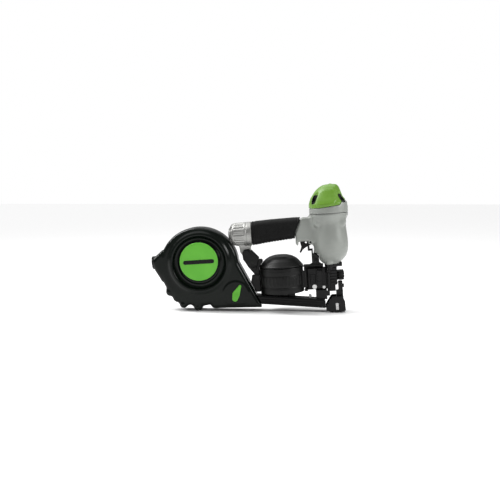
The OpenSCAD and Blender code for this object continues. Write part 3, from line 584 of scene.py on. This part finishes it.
def drum_outline(g):
    """The side view of the canister: drum, throat, lobes along the bottom and hinge snout."""
    circle = np.hypot(g.x - DRUM[0], g.z - DRUM[1]) - DRUM_R
    throat = outline(g.x, g.z, [
        (-216, 164), (-150.6, 27), (-150.6, 19), (-245, 22.5), (-300, 60), (-280, 150)])
    form = join(circle, throat, k=2)
    for degrees, reach in LOBES:
        a = math.radians(degrees)
        dx, dz = reach * math.cos(a), reach * math.sin(a)
        form = join(form, np.hypot(g.x - DRUM[0] - dx, g.z - DRUM[1] - dz) - 8.6, k=8)
    form = join(form, np.hypot(g.x + 248, g.z - 31.2) - 9, k=4)
    snout = outline(g.x, g.z, [
        (-352, 149), (-372, 133), (-376, 126), (-372.5, 118.5), (-356, 88), (-330, 120)])
    return join(form, snout - 2, k=5)


def rail_mouth(g):
    """The opening through which the caps leave the canister for the rail."""
    return brick(g, (-176, -140), (-13.4, 13.4), (28.5, 42))


def door_knuckles(g):
    """The door's two outer knuckles, which taper away from the middle one."""
    profile = [(0, 6.3), (7, 6.3), (6.6, 9), (4.4, 13.7), (0, 13.7)]
    return [lathe(g, "z", HINGE, [(r, HINGE_Z + s * z) for r, z in profile]) for s in (-1, 1)]


def build_canister_door():
    g = cells((-379, -31, 18), (-149, -8, 196), COARSE)
    form = drum_outline(g)
    plate = both(form, -22 - g.y, 9)
    r = np.hypot(g.x - DISC[0], g.z - DISC[1] + 3)
    ridge = np.hypot(r - 58, g.y + 20.6) - 6.6
    plate = join(plate, ridge, k=5)
    swell = both(r - 56, -24.5 - g.y, 3)
    plate = join(plate, swell, k=3)
    dish = np.hypot(r - 48.5, (g.y + 28) * 0.85) - 6.8
    plate = cut(plate, dish, k=3.5)
    seat = rod(g, "y", DISC, 41.6, (-26.8, -12), 1.2)
    plate = join(plate, seat, k=1.2)
    pad = both(np.hypot((g.x + 202) * 0.97, g.z - 51) - 27, -23.2 - g.y, 1.0)
    pad = meet(pad, form + 9, k=2)
    plate = join(plate, pad, k=1.5)
    hollow = both(form + 3.6, -16.6 - g.y, 2.0)
    plate = cut(plate, hollow, k=0.5)
    plate = meet(plate, g.y + 8.45, k=0.5)
    plate = cut(plate, rail_mouth(g), k=0.5)
    zone = rod(g, "z", HINGE, 7.5, (119.5, 132.5), 0.2)
    plate = cut(plate, zone, g.x - HINGE[0], k=0.5)
    plate = join(plate, *door_knuckles(g), k=0.6)
    pin = rod(g, "z", HINGE, 2.05, PIN_ENDS)
    latch_hole = rod(g, "y", LATCH_PIVOT, 2.05, (-30, 0))
    plate = cut(plate, pin, latch_hole, k=0.3)
    piece = skin("canister_door_shell", g, plate)
    place(piece, "cap_door", "canister_plastic", "canister_door")


def build_canister_base():
    g = cells((-379, -9, 18), (-149, 23, 196), COARSE)
    form = drum_outline(g)
    plate = both(form, g.y - 22, 4.5)
    r = np.hypot(g.x - DRUM[0], g.z - DRUM[1])
    angle = np.arctan2(g.z - DRUM[1], g.x - DRUM[0])
    recess = both(np.abs(r - 47) - 23, 19.8 - g.y, 2.0)
    pitch = 2 * math.pi / 12
    spokes = np.abs(((angle / pitch) % 1) - 0.5) * pitch * r - 1.6
    plate = cut(plate, cut(recess, spokes, k=1.5), k=1.2)
    groove = both(np.abs(form + 7.5) - 0.8, span(g.y, 20.9, 24), 0.4)
    plate = cut(plate, groove, k=0.8)
    hollow = both(form + 3.6, g.y - 17.2, 2.0)
    plate = cut(plate, hollow, k=0.5)
    post = rod(g, "y", HUB, 11, (-14, 20), 0.8)
    bore = rod(g, "y", HUB, 8, (-16, 8), 0.8)
    plate = join(plate, post, k=2)
    plate = cut(plate, bore, k=0.5)
    plate = meet(plate, SPLIT_Y - g.y, k=0.5)
    collar = both(both(np.hypot(g.x - HUB[0], g.z - HUB[1]) - 11, -13.9 - g.y, 0.8), g.y + 8, 0.5)
    plate = join(plate, collar, k=0.5)
    plate = cut(plate, bore, k=0.5)
    plate = cut(plate, rail_mouth(g), k=0.5)
    for ends in ((132, PIN_ENDS[1]), (PIN_ENDS[0], 120)):
        plate = cut(plate, rod(g, "z", HINGE, 7.5, ends, 0.2), k=0.5)
    plate = join(plate, rod(g, "z", HINGE, 6.9, (120.2, 131.8), 0.5), k=0.6)
    plate = cut(plate, rod(g, "z", HINGE, 2.05, PIN_ENDS), k=0.3)
    piece = skin("canister_base_shell", g, plate)
    place(piece, "tool", "canister_plastic", "canister_base")


def build_disc():
    g = cells((-315, -31, 83), (-233, -26, 165), 0.7)
    r = np.hypot(g.x - DISC[0], g.z - DISC[1])
    plate = both(r - 39.8, span(g.y, -30, -27), 0.9)
    rim = both(np.abs(r - 37.2) - 0.45, span(g.y, -33, -29.5), 0.3)
    plate = cut(plate, rim, k=0.5)
    piece = skin("cover_disc_green", g, plate, relax=1)
    place(piece, "cap_door", "disc_green", "cover_disc")

    g = cells((-312, -31, 114), (-236, -28, 134), 0.5)
    x = np.clip(g.x, -302, -246)
    bar = both(np.hypot(g.x - x, g.z - 123.4) - 4.4, span(g.y, -30.9, -29.2), 0.7)
    flutes = [np.hypot(g.x - c, g.y + 31.6) - 1.4 for c in np.arange(-300, -246, 4.0)]
    bar = cut(bar, *flutes, k=0.4)
    piece = skin("disc_grip_bar", g, bar, relax=1)
    place(piece, "cap_door", "dark_plastic")


def build_latch():
    g = cells((-216, -30, 33), (-187, -15, 72), 0.5)
    steps = 14
    spine = [(-204.6, 41.6, 6.0), (-201.5, 51, 7.6), (-192.4, 67.4, 2.6)]
    form = np.inf
    for start, end in zip(spine, spine[1:]):
        for t in np.linspace(0, 1, steps + 1):
            x, z, r = (a + (b - a) * t for a, b in zip(start, end))
            form = np.minimum(form, np.hypot(g.x - x, g.z - z) - r)
    leaf = both(form, span(g.y, -26.4, -22.4), 1.4)
    along = (g.x + 201.5) * 0.45 + (g.z - 51) * 0.9
    grooves = [np.hypot(along - c, g.y + 27.2) - 1.5 for c in (-4, 0, 4)]
    leaf = cut(leaf, *[meet(groove, form + 2, k=0.4) for groove in grooves], k=0.4)
    stem = rod(g, "y", LATCH_PIVOT, 2, (-24, -16), 0.3)
    piece = skin("canister_latch_green", g, join(leaf, stem, k=0.4), relax=1)
    place(piece, "cap_latch", "disc_green", "canister_latch")


# ---------------------------------------------------------------- nail canister

CAN_X = -105.0
CAN_FLOOR = 47
COVER_PIN = (-56.5, -12.5)
PIN_HOLE = 1.55


def build_roof():
    g = cells((-152, -47, 47), (-58, 47, 127), 0.9)
    dome = lathe(g, "z", (CAN_X, 0), [
        (0, 122.9), (14, 122.5), (23, 120), (30.5, 115.8), (36, 110.6), (40.2, 104.8), (42.8, 100.5),
        (45.8, 100.5), (45.8, 103), (44.6, 103.8), (42.5, 106.6), (37.6, 113), (31.8, 118.2),
        (24, 122.6), (14, 125.4), (0, 125.9)])
    post = rod(g, "z", (CAN_X, 0), 4, (49.5, 124), 0.3)
    r = np.hypot(g.x - CAN_X, g.y)
    boss = both(r - 9, span(g.z, 118, 125.9), 1.0)
    ring = np.hypot(r - 27.5, g.z - 122.0) - 1.0
    body = join(join(dome, boss, k=1), post, k=1)
    body = cut(body, ring, k=0.8)
    piece = skin("magazine_roof_dome", g, body)
    place(piece, "tool", "magazine_black", "magazine_roof")


def can_wall(g):
    """The whole wall and floor of the can, with two beads and two sunk bands."""
    r = np.hypot(g.x - CAN_X, g.y)
    outside = both(r - 46, span(g.z, CAN_FLOOR, 100), 1.6)
    beads = [np.hypot(r - 45.9, g.z - z) - 1.1 for z in (55, 92)]
    wall = join(outside, *[meet(b, r - 46.0, k=0.3) for b in beads], k=0.8)
    panels = [both(np.abs(r - 46.6) - 1.2, span(g.z, z, z + 1.6), 0.4) for z in (60, 84)]
    inside = both(r - 43.5, span(g.z, 49.5, 130), 0.5)
    return cut(cut(wall, *panels, k=0.6), inside, k=0.4)


def build_can():
    g = cells((-152, -9, 46), (-58, 47, 101), 0.9)
    wall = meet(can_wall(g), -8.2 - g.y, k=0.4)
    exit_slot = brick(g, (-75, -40), (-20, 8.2), (49.5, 110))
    wall = cut(wall, exit_slot, brick(g, (-59.3, -40), (-20, 8.2), (40, 110)), k=0.4)
    piece = skin("magazine_base_shell", g, wall)
    place(piece, "tool", "magazine_black", "magazine_base")

    g = cells((-152, -47, 46), (-52, -8, 101), 0.9)
    r = np.hypot(g.x - CAN_X, g.y)
    wall = meet(can_wall(g), g.y + 8.6, g.z - 99.6, k=0.4)
    angle = np.arctan2(g.y, g.x - CAN_X)
    pitch = 2 * math.pi / 40
    ribs = np.abs(((angle / pitch) % 1) - 0.5) * pitch * r - 0.8
    ribs = meet(ribs, np.abs(r - 45.6) - 1.0, span(g.z, 64, 81), k=0.3)
    wall = join(wall, meet(ribs, np.abs(angle + 1.57) - 2.02, k=0.3), k=0.6)
    hinge = rod(g, "z", COVER_PIN, 3.2, (55, 90), 0.4)
    strap = outline(g.x, g.y, [(-63, -15.6), (-56.5, -15.6), (-55.5, -12.6), (-57, -10.5), (-63.2, -9)])
    strap = both(strap, span(g.z, 55, 90), 0.4)
    wall = join(wall, hinge, meet(strap, g.y + 8.6, k=0.3), k=1)
    wall = cut(wall, rod(g, "z", COVER_PIN, PIN_HOLE, (40, 100)), k=0.2)
    wall = cut(wall, both(r - 43.5, span(g.z, 49.5, 120), 0.4), k=0.4)
    piece = skin("magazine_cover_shell", g, wall)
    place(piece, "nail_cover", "magazine_black", "magazine_cover")


def build_arm():
    g = cells((-186, -12, 49), (-138, 12, 143), 0.8)
    web = both(outline(g.x, g.z, [
        (-165.5, 120), (-144, 119), (-140, 105), (-146, 84), (-157, 82), (-174, 104), (-179, 113)]),
        np.abs(g.y) - 7.4, 1.5)
    foot = both(outline(g.x, g.z, [
        (-148, 86.4), (-167.3, 86.4), (-170.3, 71.5), (-161.3, 50.8), (-148, 50)]),
        np.abs(g.y) - 7.4, 1.5)
    cheek = outline(g.x, g.z, [
        (-164.5, 138), (-150, 122), (-158, 98), (-168, 97), (-183.5, 121), (-184.5, 134), (-180, 141),
        (-170, 142)])
    cheeks = both(cheek, span(np.abs(g.y), 7.45, 11), 1.0)
    slot = outline(g.x, g.z, [(-160, 112), (-155, 108), (-160, 101), (-168, 103), (-175, 113), (-170, 116)])
    pocket = both(slot + 1.5, 9.8 - np.abs(g.y), 0.6)
    roof = [(43, 106), (38, 113), (32, 118.5), (24, 123), (14, 125.6), (0, 126)]
    can = lathe(g, "z", (CAN_X, 0), [
        (0, 40), (46.2, 40), (46.2, 100.5), *[(r + 0.3, z + 0.3) for r, z in roof]])
    body = join(join(web, foot, k=4), cheeks, k=1.5)
    gap = outline(g.x, g.z, [(-189, 145), (-160, 145), (-160, 121.4), (-189, 121.4)])
    gap = both(gap, np.abs(g.y) - 7.3, 0.5)
    body = cut(body, can - 0.1, gap, pocket, rod(g, "y", ARM_BOLT, 3.1, (-20, 20)), k=0.6)
    piece = skin("magazine_arm_casting", g, body, relax=1)
    place(piece, "tool", "magazine_black", "magazine_arm")


# ---------------------------------------------------------------- trigger

def build_trigger():
    g = cells((-66, -9, 125), (-36, 9, 153), 0.45)
    side = outline(g.x, g.z, [
        (-37.8, 145), (-37.8, 151), (-41, 152), (-60, 152), (-62.4, 148.5), (-61.6, 144), (-60.4, 139.5),
        (-62.4, 133.2), (-64.6, 129), (-63.8, 127), (-62, 127), (-58.6, 132), (-54.6, 135.8), (-49, 138.8),
        (-42, 141.6)])
    body = both(side, np.abs(g.y) - 8, 1.6)
    slot = brick(g, (-49.5, -30), (-4.5, 4.5), (125, 165), 0.4)
    tray = brick(g, (-60, -30), (-4.5, 4.5), (144, 165), 0.6)
    holes = [rod(g, "y", TRIGGER_PIN, 2.05, (-10, 10)), rod(g, "y", (-57.5, 150.8), 1.25, (-6.6, 6.6)),
             rod(g, "y", (-50.5, 147.6), 2.3, (-10, 10))]
    grip = [np.hypot(g.x + 57.5 - t * 4.2, g.z - 132.4 - t * 2.1) - 0.7 for t in (0, 1, 2, 3)]
    body = cut(body, slot, tray, *holes, *grip, k=0.4)
    piece = skin("trigger_lever", g, body, relax=1)
    place(piece, "trigger_lever", "dark_plastic", "trigger")


# ---------------------------------------------------------------- cap rail

def rail_axes(g):
    """The same sample points measured along and across the sloping cap rail."""
    slope = math.radians(7)
    c, s = math.cos(slope), math.sin(slope)
    dx, dz = g.x + 14, g.z - 9
    return SimpleNamespace(x=dx * c - dz * s, y=g.y, z=dx * s + dz * c)


def build_rail():
    g = cells((-166, -18, 8), (-12, 18, 48), 0.75)
    rail = rail_axes(g)
    throat = outline(g.x, g.z, [(-260, 164), (-215.7, 164), (-150.3, 27), (-150.3, 0), (-260, 0)])
    channel = brick(rail, (-150, -5), (-16, 16), (0, 16), 0.9)
    grooves = [both(both(span(rail.x, -138, -16), span(rail.z, z, z + 1.4), 0.3), 15.2 - np.abs(g.y), 0.2)
               for z in (4.2, 10.6)]
    pocket = both(both(span(rail.x, -132, -24), span(rail.z, 6.6, 9.6), 0.4), 15.5 - np.abs(g.y), 0.2)
    struts = [span(rail.x, x - 2.2, x + 2.2) for x in (-111, -84, -57, -36)]
    rivets = [both(np.hypot(rail.x - x, rail.z - 8.2) - 2.1, span(np.abs(g.y), 15, 16.5), 0.5)
              for x in (-143, -11)]
    channel = cut(channel, *grooves, cut(pocket, *struts, k=0.4), k=0.4)
    channel = join(channel, *rivets, k=0.5)
    channel = cut(channel, brick(rail, (-151, -4), (-13.4, 13.4), (2.5, 20), 0.4), k=0.4)
    channel = join(channel, brick(rail, (-5.5, 0.8), (-10, 10), (0, 2.5), 0.6), k=0.4)
    piece = skin("cap_rail_channel", g, cut(channel, throat, k=0.4), relax=1)
    place(piece, "tool", "dark_plastic", "cap_rail")

    plate = brick(rail, (-150, -6), (-16, 16), (16, 18), 0.7)
    rib = outline(g.x, g.z, [(-150, 42.9), (-150, 46.6), (-82, 46.6), (-79.5, 42.6), (-79.5, 34.5)])
    rib = both(rib, np.abs(g.y) - 8, 0.6)
    sides = both(np.abs(g.y) - 14, g.z - 46, 0.2)
    slope = (np.abs(g.y) - 14) * 0.7 + (rail.z - 18) * 0.7
    gussets = [both(both(span(rail.x, x - 1, x + 1), 17.5 - rail.z, 0.2), sides, 0.3)
               for x in (-126, -104, -82)]
    gussets = [meet(gusset, slope, k=0.3) for gusset in gussets]
    cover = join(plate, rib, k=2)
    cover = join(cover, *gussets, k=0.8)
    spots = [np.hypot(rail.x - x, np.abs(g.y) - 11.5) for x in (-96, -22)]
    screws = [both(spot - 2.6, span(rail.z, 17.5, 18.9), 0.5) for spot in spots]
    cover = cut(join(cover, *screws, k=0.3), brick(rail, (-76, -30), (-3, 3), (10, 19.5), 0.4), k=0.4)
    sockets = [both(spot - 1.3, 18.1 - rail.z, 0.2) for spot in spots]
    piece = skin("rail_cover_plate", g, cut(cover, throat, *sockets, k=0.4), relax=1)
    place(piece, "tool", "dark_plastic", "rail_cover")


# ---------------------------------------------------------------- nose and nail feed

DOOR_PIN = (-8.5, -11.5)
DIAL_X = 17.5


def build_guide_door():
    g = cells((-52, -14, 48), (-5, -4, 95), 0.5)
    door = brick(g, (-51, -10.2), (-8, -4.3), (50.3, 93), 0.7)
    door = cut(door, brick(g, (-14.5, -9), (-9, -3), (83.5, 94.5), 0.3), k=0.4)
    panel = both(outline(g.x, g.z, [(-31, 80), (-16, 80), (-16, 59), (-22, 59), (-31, 66)]), g.y + 7.4, 0.4)
    door = cut(door, both(panel, g.y + 7.4, 0.3), k=0.4)
    pad = brick(g, (-46, -36), (-9, -7), (60, 80), 0.5)
    ribs = [brick(g, (-46.6, -35.4), (-9.3, -8.4), (z, z + 1.6), 0.3) for z in np.arange(61.5, 79, 3.4)]
    door = join(door, pad, *ribs, k=0.5)
    barrel = rod(g, "z", DOOR_PIN, 3, (49, 83.5), 0.4)
    r = np.hypot(g.x - DOOR_PIN[0], g.y - DOOR_PIN[1])
    rings = [np.hypot(r - 3.1, g.z - z) - 0.6 for z in (57, 66.2, 75.5)]
    web = brick(g, (-13, -10.4), (-11.5, -7.9), (49, 83.5), 0.3)
    door = join(door, web, k=1.5)
    door = join(door, cut(barrel, *rings, k=0.3), k=0.6)
    lugs = [brick(g, (x, x + 1.2), (-13.5, -7.9), (83, 91), 0.4) for x in (-33, -22.2)]
    door = join(door, *lugs, k=0.5)
    latch_pin = rod(g, "x", (-11, 87), 1.25, (-34, -20))
    door = cut(door, rod(g, "z", DOOR_PIN, PIN_HOLE, (40, 90)), latch_pin, k=0.3)
    piece = skin("guide_door_plate", g, door, relax=1)
    place(piece, "door", "nose_black", "guide_door")


def build_feed_guide():
    g = cells((-60, -16, 46), (-8, 9, 128), 0.6)
    gusset = outline(g.x, g.z, [
        (-52, 98.6), (-38.5, 106.5), (-37.5, 123.5), (-36, 126.2), (-25.3, 120.2), (-25.3, 106),
        (-19, 101.5), (-19, 98.6)])
    parts = [
        brick(g, (-58, -9.3), (4, 8), (CAN_FLOOR, 93.7), 0.5),
        brick(g, (-58, -17.6), (4, 8), (90, 99), 0.4),
        brick(g, (-58, -17.6), (-12, 8), (98.5, 101.5), 0.6),
        both(gusset, span(g.y, -12, -5), 1.0),
        rod(g, "z", COVER_PIN, 4, (98.5, 101.5), 0.6),
        brick(g, (-58.9, -52.5), (-15, 8), (CAN_FLOOR, 50), 0.6)]
    body = join(*parts, k=1.2)
    recess = outline(g.x, g.z, [
        (-45, 102.2), (-36.6, 107), (-35.4, 121.5), (-27.8, 117.8), (-27.8, 104.5), (-24, 102.2)])
    spot = (-32, 110.5)
    screw = rod(g, "y", spot, 2.7, (-12.6, -10), 0.5)
    body = join(cut(body, both(recess, g.y + 11.3, 0.4), k=0.5), screw, k=0.4)
    body = cut(body, rod(g, "y", spot, 1.3, (-14, -11.6), 0.2), brick(g, (-36, -12), (3, 9), (68, 76), 0.3),
               rod(g, "z", COVER_PIN, PIN_HOLE, (40, 110)), k=0.3)
    piece = skin("feed_guide_casting", g, body, relax=1)
    place(piece, "tool", "magazine_black", "feed_guide")


def build_nose():
    g = cells((-16, -26, 42), (17, 26, 101), 0.6)
    flange = join(rod(g, "z", (0, 0), 15, (94, 100), 0.6), brick(g, (-12.2, 0.8), (-18, 18), (94, 100), 0.6),
                  *[rod(g, "z", p, 6.5, (94, 100), 0.6) for p in LUGS], k=2.5)
    upper = brick(g, (-9, 9.5), (-8.5, 8.5), (56, 95), 0.8)
    lower = brick(g, (-9, 5.4), (-7, 7), (43, 56.1), 0.8)
    ribs = [both(both(span(g.x, -4.5, 10.2), span(g.z, z, z + 1.8), 0.3), np.abs(g.y) - 9.1, 0.4)
            for z in (60, 66, 72, 78, 84, 90)]
    lugs = [brick(g, (-12, -5), (-14, -6.9), (44, 48.5), 0.5),
            brick(g, (-12, -5), (-14, -8.4), (84, 88.7), 0.5)]
    nose = join(upper, lower, flange, k=1.2)
    nose = join(nose, *ribs, *lugs, k=0.6)
    tools = [
        rod(g, "z", DOOR_PIN, PIN_HOLE, (40, 90)), rod(g, "z", (0, 0), 3.8, (40, 102)),
        brick(g, (-18, 0), (-1.9, 1.9), (52, 98.5), 0.3), brick(g, (-18, 0), (-3.8, 3.8), (89, 98.5), 0.3)]
    tools += [rod(g, "z", p, 2.6, (90, 102)) for p in LUGS]
    piece = skin("nose_guide_casting", g, meet(cut(nose, *tools, k=0.3), g.z - 99.95, k=0.2), relax=1)
    place(piece, "tool", "nose_black", "nose_guide")

    g = cells((9, -9, 93), (23, 9, 104), 0.45)
    guard = brick(g, (10.4, 21.5), (-8, 8), (94.3, 103), 1.4)
    grooves = [both(np.hypot(g.x - 21.8, g.z - z) - 0.9, np.abs(g.y) - 6.5, 0.3) for z in (96.6, 98.8, 101)]
    seat = lathe(g, "z", (0, 0), [(0, 90), (15.25, 90), (15.25, 100.1), (18.4, 103), (18.8, 106), (0, 106)])
    piece = skin("nose_guard_rubber", g, cut(guard, seat, *grooves, k=0.4), relax=1)
    place(piece, "tool", "nose_black", "nose_guard")


def build_dial():
    g = cells((9, -9, 69), (26, 9, 83), 0.35)
    r = np.hypot(g.x - DIAL_X, g.y)
    angle = np.arctan2(g.y, g.x - DIAL_X)
    wheel = both(r - 7.4, span(g.z, 69.5, 82.3), 0.7)
    flutes = both(r - 7.6 + 0.75 * (0.5 + 0.5 * np.cos(angle * 20)), span(g.z, 71.2, 80.6) - 0.3, 0.1)
    band = both(np.abs(r - 7.6) - 1.3, span(g.z, 71.2, 80.6), 0.4)
    wheel = join(cut(wheel, band, k=0.4), meet(flutes, span(g.z, 71.4, 80.4), k=0.3), k=0.3)
    waist = np.hypot(r - 7.7, g.z - 75.9) - 0.9
    wheel = cut(wheel, waist, rod(g, "z", (DIAL_X, 0), 3.05, (60, 90)), k=0.3)
    piece = skin("depth_dial_knurled", g, wheel, relax=1)
    place(piece, "dial", "dark_plastic", "depth_dial")


def build_foot():
    g = cells((-18, -20, -1), (24, 20, 64), 0.6)
    side = outline(g.x, g.z, [
        (-17, 5), (-6, 0), (19.5, 0), (23, 3), (22.5, 22), (19.3, 27), (16, 33), (-3, 33), (-8, 27), (-17, 13)])
    foot = both(side, np.abs(g.y) - 19, 1.0)
    foot = cut(foot, brick(g, (-20, 14.8), (-14.5, 14.5), (-1, 40), 0.5), k=0.5)
    foot = cut(foot, brick(g, (3, 9), (-30, 30), (4, 19), 0.8), k=0.6)
    teeth = [np.hypot(g.x - x, g.z + 0.3) - 0.9 for x in np.arange(-3, 19, 3.2)]
    foot = cut(foot, *[meet(tooth, 16.5 - np.abs(g.y), k=0.2) for tooth in teeth], k=0.3)
    stem = brick(g, (11, 20), (-6, 6), (41, 63), 0.7)
    stem = join(brick(g, (6, 20), (-6, 6), (26.5, 44.5), 0.7), stem, k=1.5)
    front = brick(g, (14.8, 20), (-14.5, 14.5), (26, 33), 0.5)
    button = rod(g, "x", (0, 53), 4, (19.5, 23), 0.8)
    slot = both(both(span(g.z, 43, 59), np.abs(g.x - 15.5) - 1.6, 0.6), 5.2 - np.abs(g.y), 0.4)
    foot = join(foot, stem, front, k=1.2)
    foot = cut(join(foot, button, k=0.8), slot, k=0.5)
    piece = skin("contact_foot_casting", g, foot, relax=1)
    place(piece, "foot", "nose_black", "contact_foot")


def build_pocket_shade():
    """A black sleeve in each bolt pocket, cut off flush with the cover: painted shade standing in for the
    shadow inside the pocket.
    """
    g = cells((-36, -31, 225), (36, 31, 252), 0.5)
    form = head_form(g)
    shade_liners = []
    for x, y in BOLTS:
        r = np.hypot(g.x - x, g.y - y)
        # painted shade: a thin black liner that darkens the pocket wall
        sleeve = both(np.abs(r - 6.75) - 0.4, span(g.z, BOSS_TOP + 0.1, 244), 0.2)
        shade_liners.append(both(sleeve, form - 0.2, 0.3))
    piece = skin("pocket_shade_sleeves", g, np.minimum.reduce(shade_liners), relax=1)
    place(piece, "tool", "nose_black")


def build_bolts():
    """Four socket-head bolts, built once and copied; each sits on a washer that is partly a real washer and
    partly painted shade, made wide and black to darken the pocket floor.
    """
    g = cells((20, -29, 189), (34, -15, 232), 0.4)
    x, y = 27, -22
    dx, dy = g.x - x, g.y - y
    r = np.hypot(dx, dy)
    angle = np.arctan2(dy, dx)
    head = both(r - 4.4 - 0.12 * np.cos(angle * 28), span(g.z, 226.8, 231), 0.5)
    # painted shade: the washer is widened to cover the grey boss so the pocket floor reads dark
    shade_washer = both(r - 6.2, span(g.z, BOSS_TOP + 0.05, 227.1), 0.3)
    shank = both(r - 2.5, span(g.z, 190, 227), 0.4)
    hexagon = np.maximum.reduce([np.abs(dx * math.cos(a) + dy * math.sin(a)) - 1.75
                                 for a in (0, math.pi / 3, 2 * math.pi / 3)])
    bolt = cut(join(head, shade_washer, shank, k=0.3), both(hexagon, 228.2 - g.z, 0.1), k=0.3)
    offsets = [(bx - x, by - y, 0) for bx, by in BOLTS]
    piece = skin("head_bolts_socket", g, bolt, relax=1, places=offsets)
    place(piece, "tool", "nose_black", "head_bolts")


# ---------------------------------------------------------------- springs

SPRINGS = [
    # node, axis, coil radius, wire radius, turns, joint, fixed end, travel
    ("contact_spring", 2, 2.7, 0.45, 6, "contact_arm_slide", 1, 8),
    ("head_valve_spring", 2, 8.5, 0.95, 5, "head_valve_lift", 1, 4),
    ("plunger_spring", 2, 2.8, 0.4, 3, "plunger_slide", 1, 1.6),
    ("feed_spring", 0, 5.5, 0.65, 5, "feed_stroke", 0, 8),
]


def spring_mesh(name, low, high, axis, radius, wire, turns):
    """A ground coil spring with closed end turns, in the box between two corners in mm."""
    rings, sides = int(turns * 28), 10
    middle = (low + high) / 2
    low, high = low[axis] + 0.06, high[axis] - 0.06
    verts, faces = [], []
    for i in range(rings + 1):
        t = i / rings
        a = 2 * math.pi * turns * t
        ease = np.interp(t, [0, 1 / turns, 1 - 1 / turns, 1], [0, 0.09, 0.91, 1])
        along = low + wire + (high - low - 2 * wire) * ease
        for j in range(sides):
            b = 2 * math.pi * j / sides
            reach = radius + wire * math.cos(b)
            vert = middle.copy()
            vert[axis] = along + wire * math.sin(b)
            vert[(axis + 1) % 3] += reach * math.cos(a)
            vert[(axis + 2) % 3] += reach * math.sin(a)
            verts.append(tuple(vert * MM))
    for i in range(rings):
        for j in range(sides):
            k = (j + 1) % sides
            faces.append((i * sides + j, i * sides + k, (i + 1) * sides + k, (i + 1) * sides + j))
    faces.append(tuple(range(sides))[::-1])
    faces.append(tuple(rings * sides + j for j in range(sides)))
    mesh = bpy.data.meshes.new(name)
    mesh.from_pydata(verts, [], faces)
    mesh.shade_smooth()
    piece = bpy.data.objects.new(name, mesh)
    bpy.context.collection.objects.link(piece)
    return piece


def build_springs():
    """Coil springs, each in the place of its CAD spring."""
    for node, axis, radius, wire, turns, joint, fixed, travel in SPRINGS:
        low, high = (np.array(corner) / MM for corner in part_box(node))
        piece = spring_mesh(node + "_coil", low, high, axis, radius, wire, turns)
        place(piece, "tool", "bright_steel", node)
        anchor = (low + high) / 2
        anchor[axis] = (low, high)[fixed][axis]
        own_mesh(piece)


# ---------------------------------------------------------------- carried-over CAD nodes

def dress_cad():
    """Bevel the CAD nodes that show, and give every one its material."""
    slots = {s["node"]: s["material_slot"] for s in frame["record"]["subparts"]}
    for node, obj in frame["nodes"].items():
        obj.data.materials.clear()
        obj.data.materials.append(finish_of(slots[node], False))
        bevel = obj.modifiers.new("bevel", "BEVEL")
        bevel.width = 0.35 * MM
        bevel.segments = 2
        bevel.limit_method = "ANGLE"
        bevel.angle_limit = math.radians(40)
        bevel.harden_normals = False
        obj.data.shade_smooth()
        normals = obj.modifiers.new("normals", "WEIGHTED_NORMAL")
        normals.keep_sharp = True


for step in (
        make_camera, make_floor, make_light, dress_cad, build_head, build_body, build_grip, build_end_cap,
        build_canister_door, build_canister_base, build_disc, build_latch, build_roof, build_can, build_arm,
        build_trigger, build_springs, build_rail, build_guide_door, build_feed_guide, build_nose, build_dial,
        build_foot, build_pocket_shade, build_bolts):
    step()

bpy.context.scene.view_settings.view_transform = "Standard"
